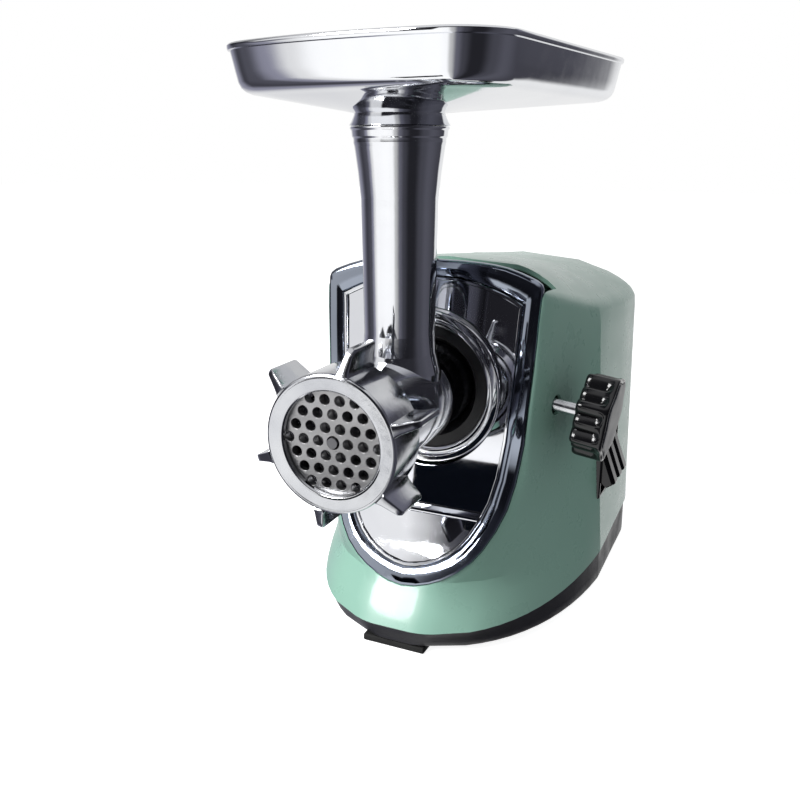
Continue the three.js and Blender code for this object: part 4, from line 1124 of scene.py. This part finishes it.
# What polished metal sees round the studio: (azimuth in degrees, 0 straight in front and positive to the
# right; brightness). One list for the table and what stands low, one for the room above it.
seen_low = [
    (-180, 0.9), (-150, 0.9), (-118, 0.30), (-90, 0.06), (-72, 0.09), (-62, 0.30), (-54, 0.9), (-46, 1.2),
    (-10, 1.25), (5, 1.2), (14, 0.6), (25, 0.14), (37, 0.06), (52, 0.02), (66, 0.02), (88, 0.07), (110, 0.10),
    (153, 0.06), (161, 0.95), (180, 0.9),
]
seen_level = [
    (-180, 0.9), (-140, 0.9), (-118, 0.30), (-95, 0.03), (-70, 0.04), (-58, 0.15), (-48, 0.9), (-25, 0.9),
    (-20.5, 0.015), (5, 0.03), (20, 0.02), (40, 0.01), (60, 0.02), (88, 0.07), (110, 0.09),
    (153, 0.08), (161, 0.9), (180, 0.9),
]
seen_above = [
    (-180, 0.8), (-120, 0.5), (-75, 0.05), (-62, 0.9), (-24, 1.0), (-20.5, 0.05), (-15, 0.02), (60, 0.03),
    (110, 0.10), (149, 0.2), (160, 0.9), (180, 0.8),
]


def studio_world():
    world = bpy.data.worlds.new("studio_white")
    scene.world = world
    world.use_nodes = True
    nodes, links = world.node_tree.nodes, world.node_tree.links
    way = nodes.new("ShaderNodeTexCoord").outputs["Generated"]
    split = nodes.new("ShaderNodeSeparateXYZ")
    links.new(way, split.inputs["Vector"])

    def worked(operation, *values):
        node = nodes.new("ShaderNodeMath")
        node.operation = operation
        for k, value in enumerate(values):
            if isinstance(value, (int, float)):
                node.inputs[k].default_value = value
            else:
                links.new(value, node.inputs[k])
        return node.outputs["Value"]

    def banded(stops, place):
        node = nodes.new("ShaderNodeValToRGB")
        ramp = node.color_ramp
        ramp.interpolation = "EASE"
        for k, (degrees, bright) in enumerate(stops):
            place_on_ramp = degrees / 360 + 0.5
            stop = ramp.elements[k] if k < 2 else ramp.elements.new(place_on_ramp)
            stop.position = place_on_ramp
            stop.color = (bright, bright, bright * (1.0 if bright > 0.4 else 1.25), 1)
        links.new(place, node.inputs["Fac"])
        return node.outputs["Color"]

    def mixed(share, first, second):
        node = nodes.new("ShaderNodeMix")
        node.data_type = "RGBA"
        links.new(share, node.inputs["Factor"])
        for socket, value in ((node.inputs[6], first), (node.inputs[7], second)):
            if isinstance(value, tuple):
                socket.default_value = value
            else:
                links.new(value, socket)
        return node.outputs[2]

    turn = worked("ARCTAN2", split.outputs["X"], worked("MULTIPLY", split.outputs["Y"], -1))
    place = worked("ADD", worked("DIVIDE", turn, 2 * pi), 0.5)

    def risen(start, end):
        node = nodes.new("ShaderNodeMapRange")
        node.interpolation_type = "SMOOTHSTEP"
        node.inputs["From Min"].default_value = start
        node.inputs["From Max"].default_value = end
        links.new(split.outputs["Z"], node.inputs["Value"])
        return node.outputs["Result"]

    above = risen(0.16, 0.30)
    overhead = risen(0.55, 0.9)
    round_room = mixed(risen(-0.11, 0.0), banded(seen_low, place), banded(seen_level, place))
    seen = mixed(above, round_room, banded(seen_above, place))
    seen = mixed(overhead, seen, (0.8, 0.8, 0.82, 1))
    ray = nodes.new("ShaderNodeLightPath")
    diffuse = mixed(ray.outputs["Is Glossy Ray"], (AMBIENT, AMBIENT, AMBIENT * 1.03, 1), seen)
    final = mixed(ray.outputs["Is Camera Ray"], diffuse, (1, 1, 1, 1))
    links.new(final, nodes["Background"].inputs["Color"])


AMBIENT = 0.30
studio_world()
low_card = stage_sheet(
    "low_dark_card", (-0.045, -0.30, 0.045), (0, 1, 0), 0.13, 0.085,
    plain_surface("low_card_cloth", (0.010, 0.013, 0.022)))
low_card.visible_camera = False
low_card.visible_diffuse = False
low_card.visible_shadow = False
low_card.visible_transmission = False


def soft_light(name, place, target, size, power):
    data = bpy.data.lights.new(name, "AREA")
    data.shape = "RECTANGLE"
    data.size, data.size_y = size
    data.energy = power
    lamp = bpy.data.objects.new(name, data)
    scene.collection.objects.link(lamp)
    lamp.location = place
    lamp.rotation_euler = (Vector(target) - Vector(place)).to_track_quat("-Z", "Y").to_euler()
    lamp.visible_camera = False
    return lamp


key = soft_light("key_from_upper_left", (-1.1, -1.7, 1.5), (0, 0, 0.15), (1.0, 1.0), 60)
key.visible_glossy = True

camera_data = bpy.data.cameras.new("studio_camera")
camera_data.sensor_width = 36
camera_data.lens = 39.15
camera = bpy.data.objects.new("studio_camera", camera_data)
scene.collection.objects.link(camera)
camera.location = (0.20414, -0.51744, 0.30214)
camera.rotation_euler = Vector((-0.40365, 0.87157, -0.27827)).to_track_quat("-Z", "Y").to_euler()
scene.camera = camera
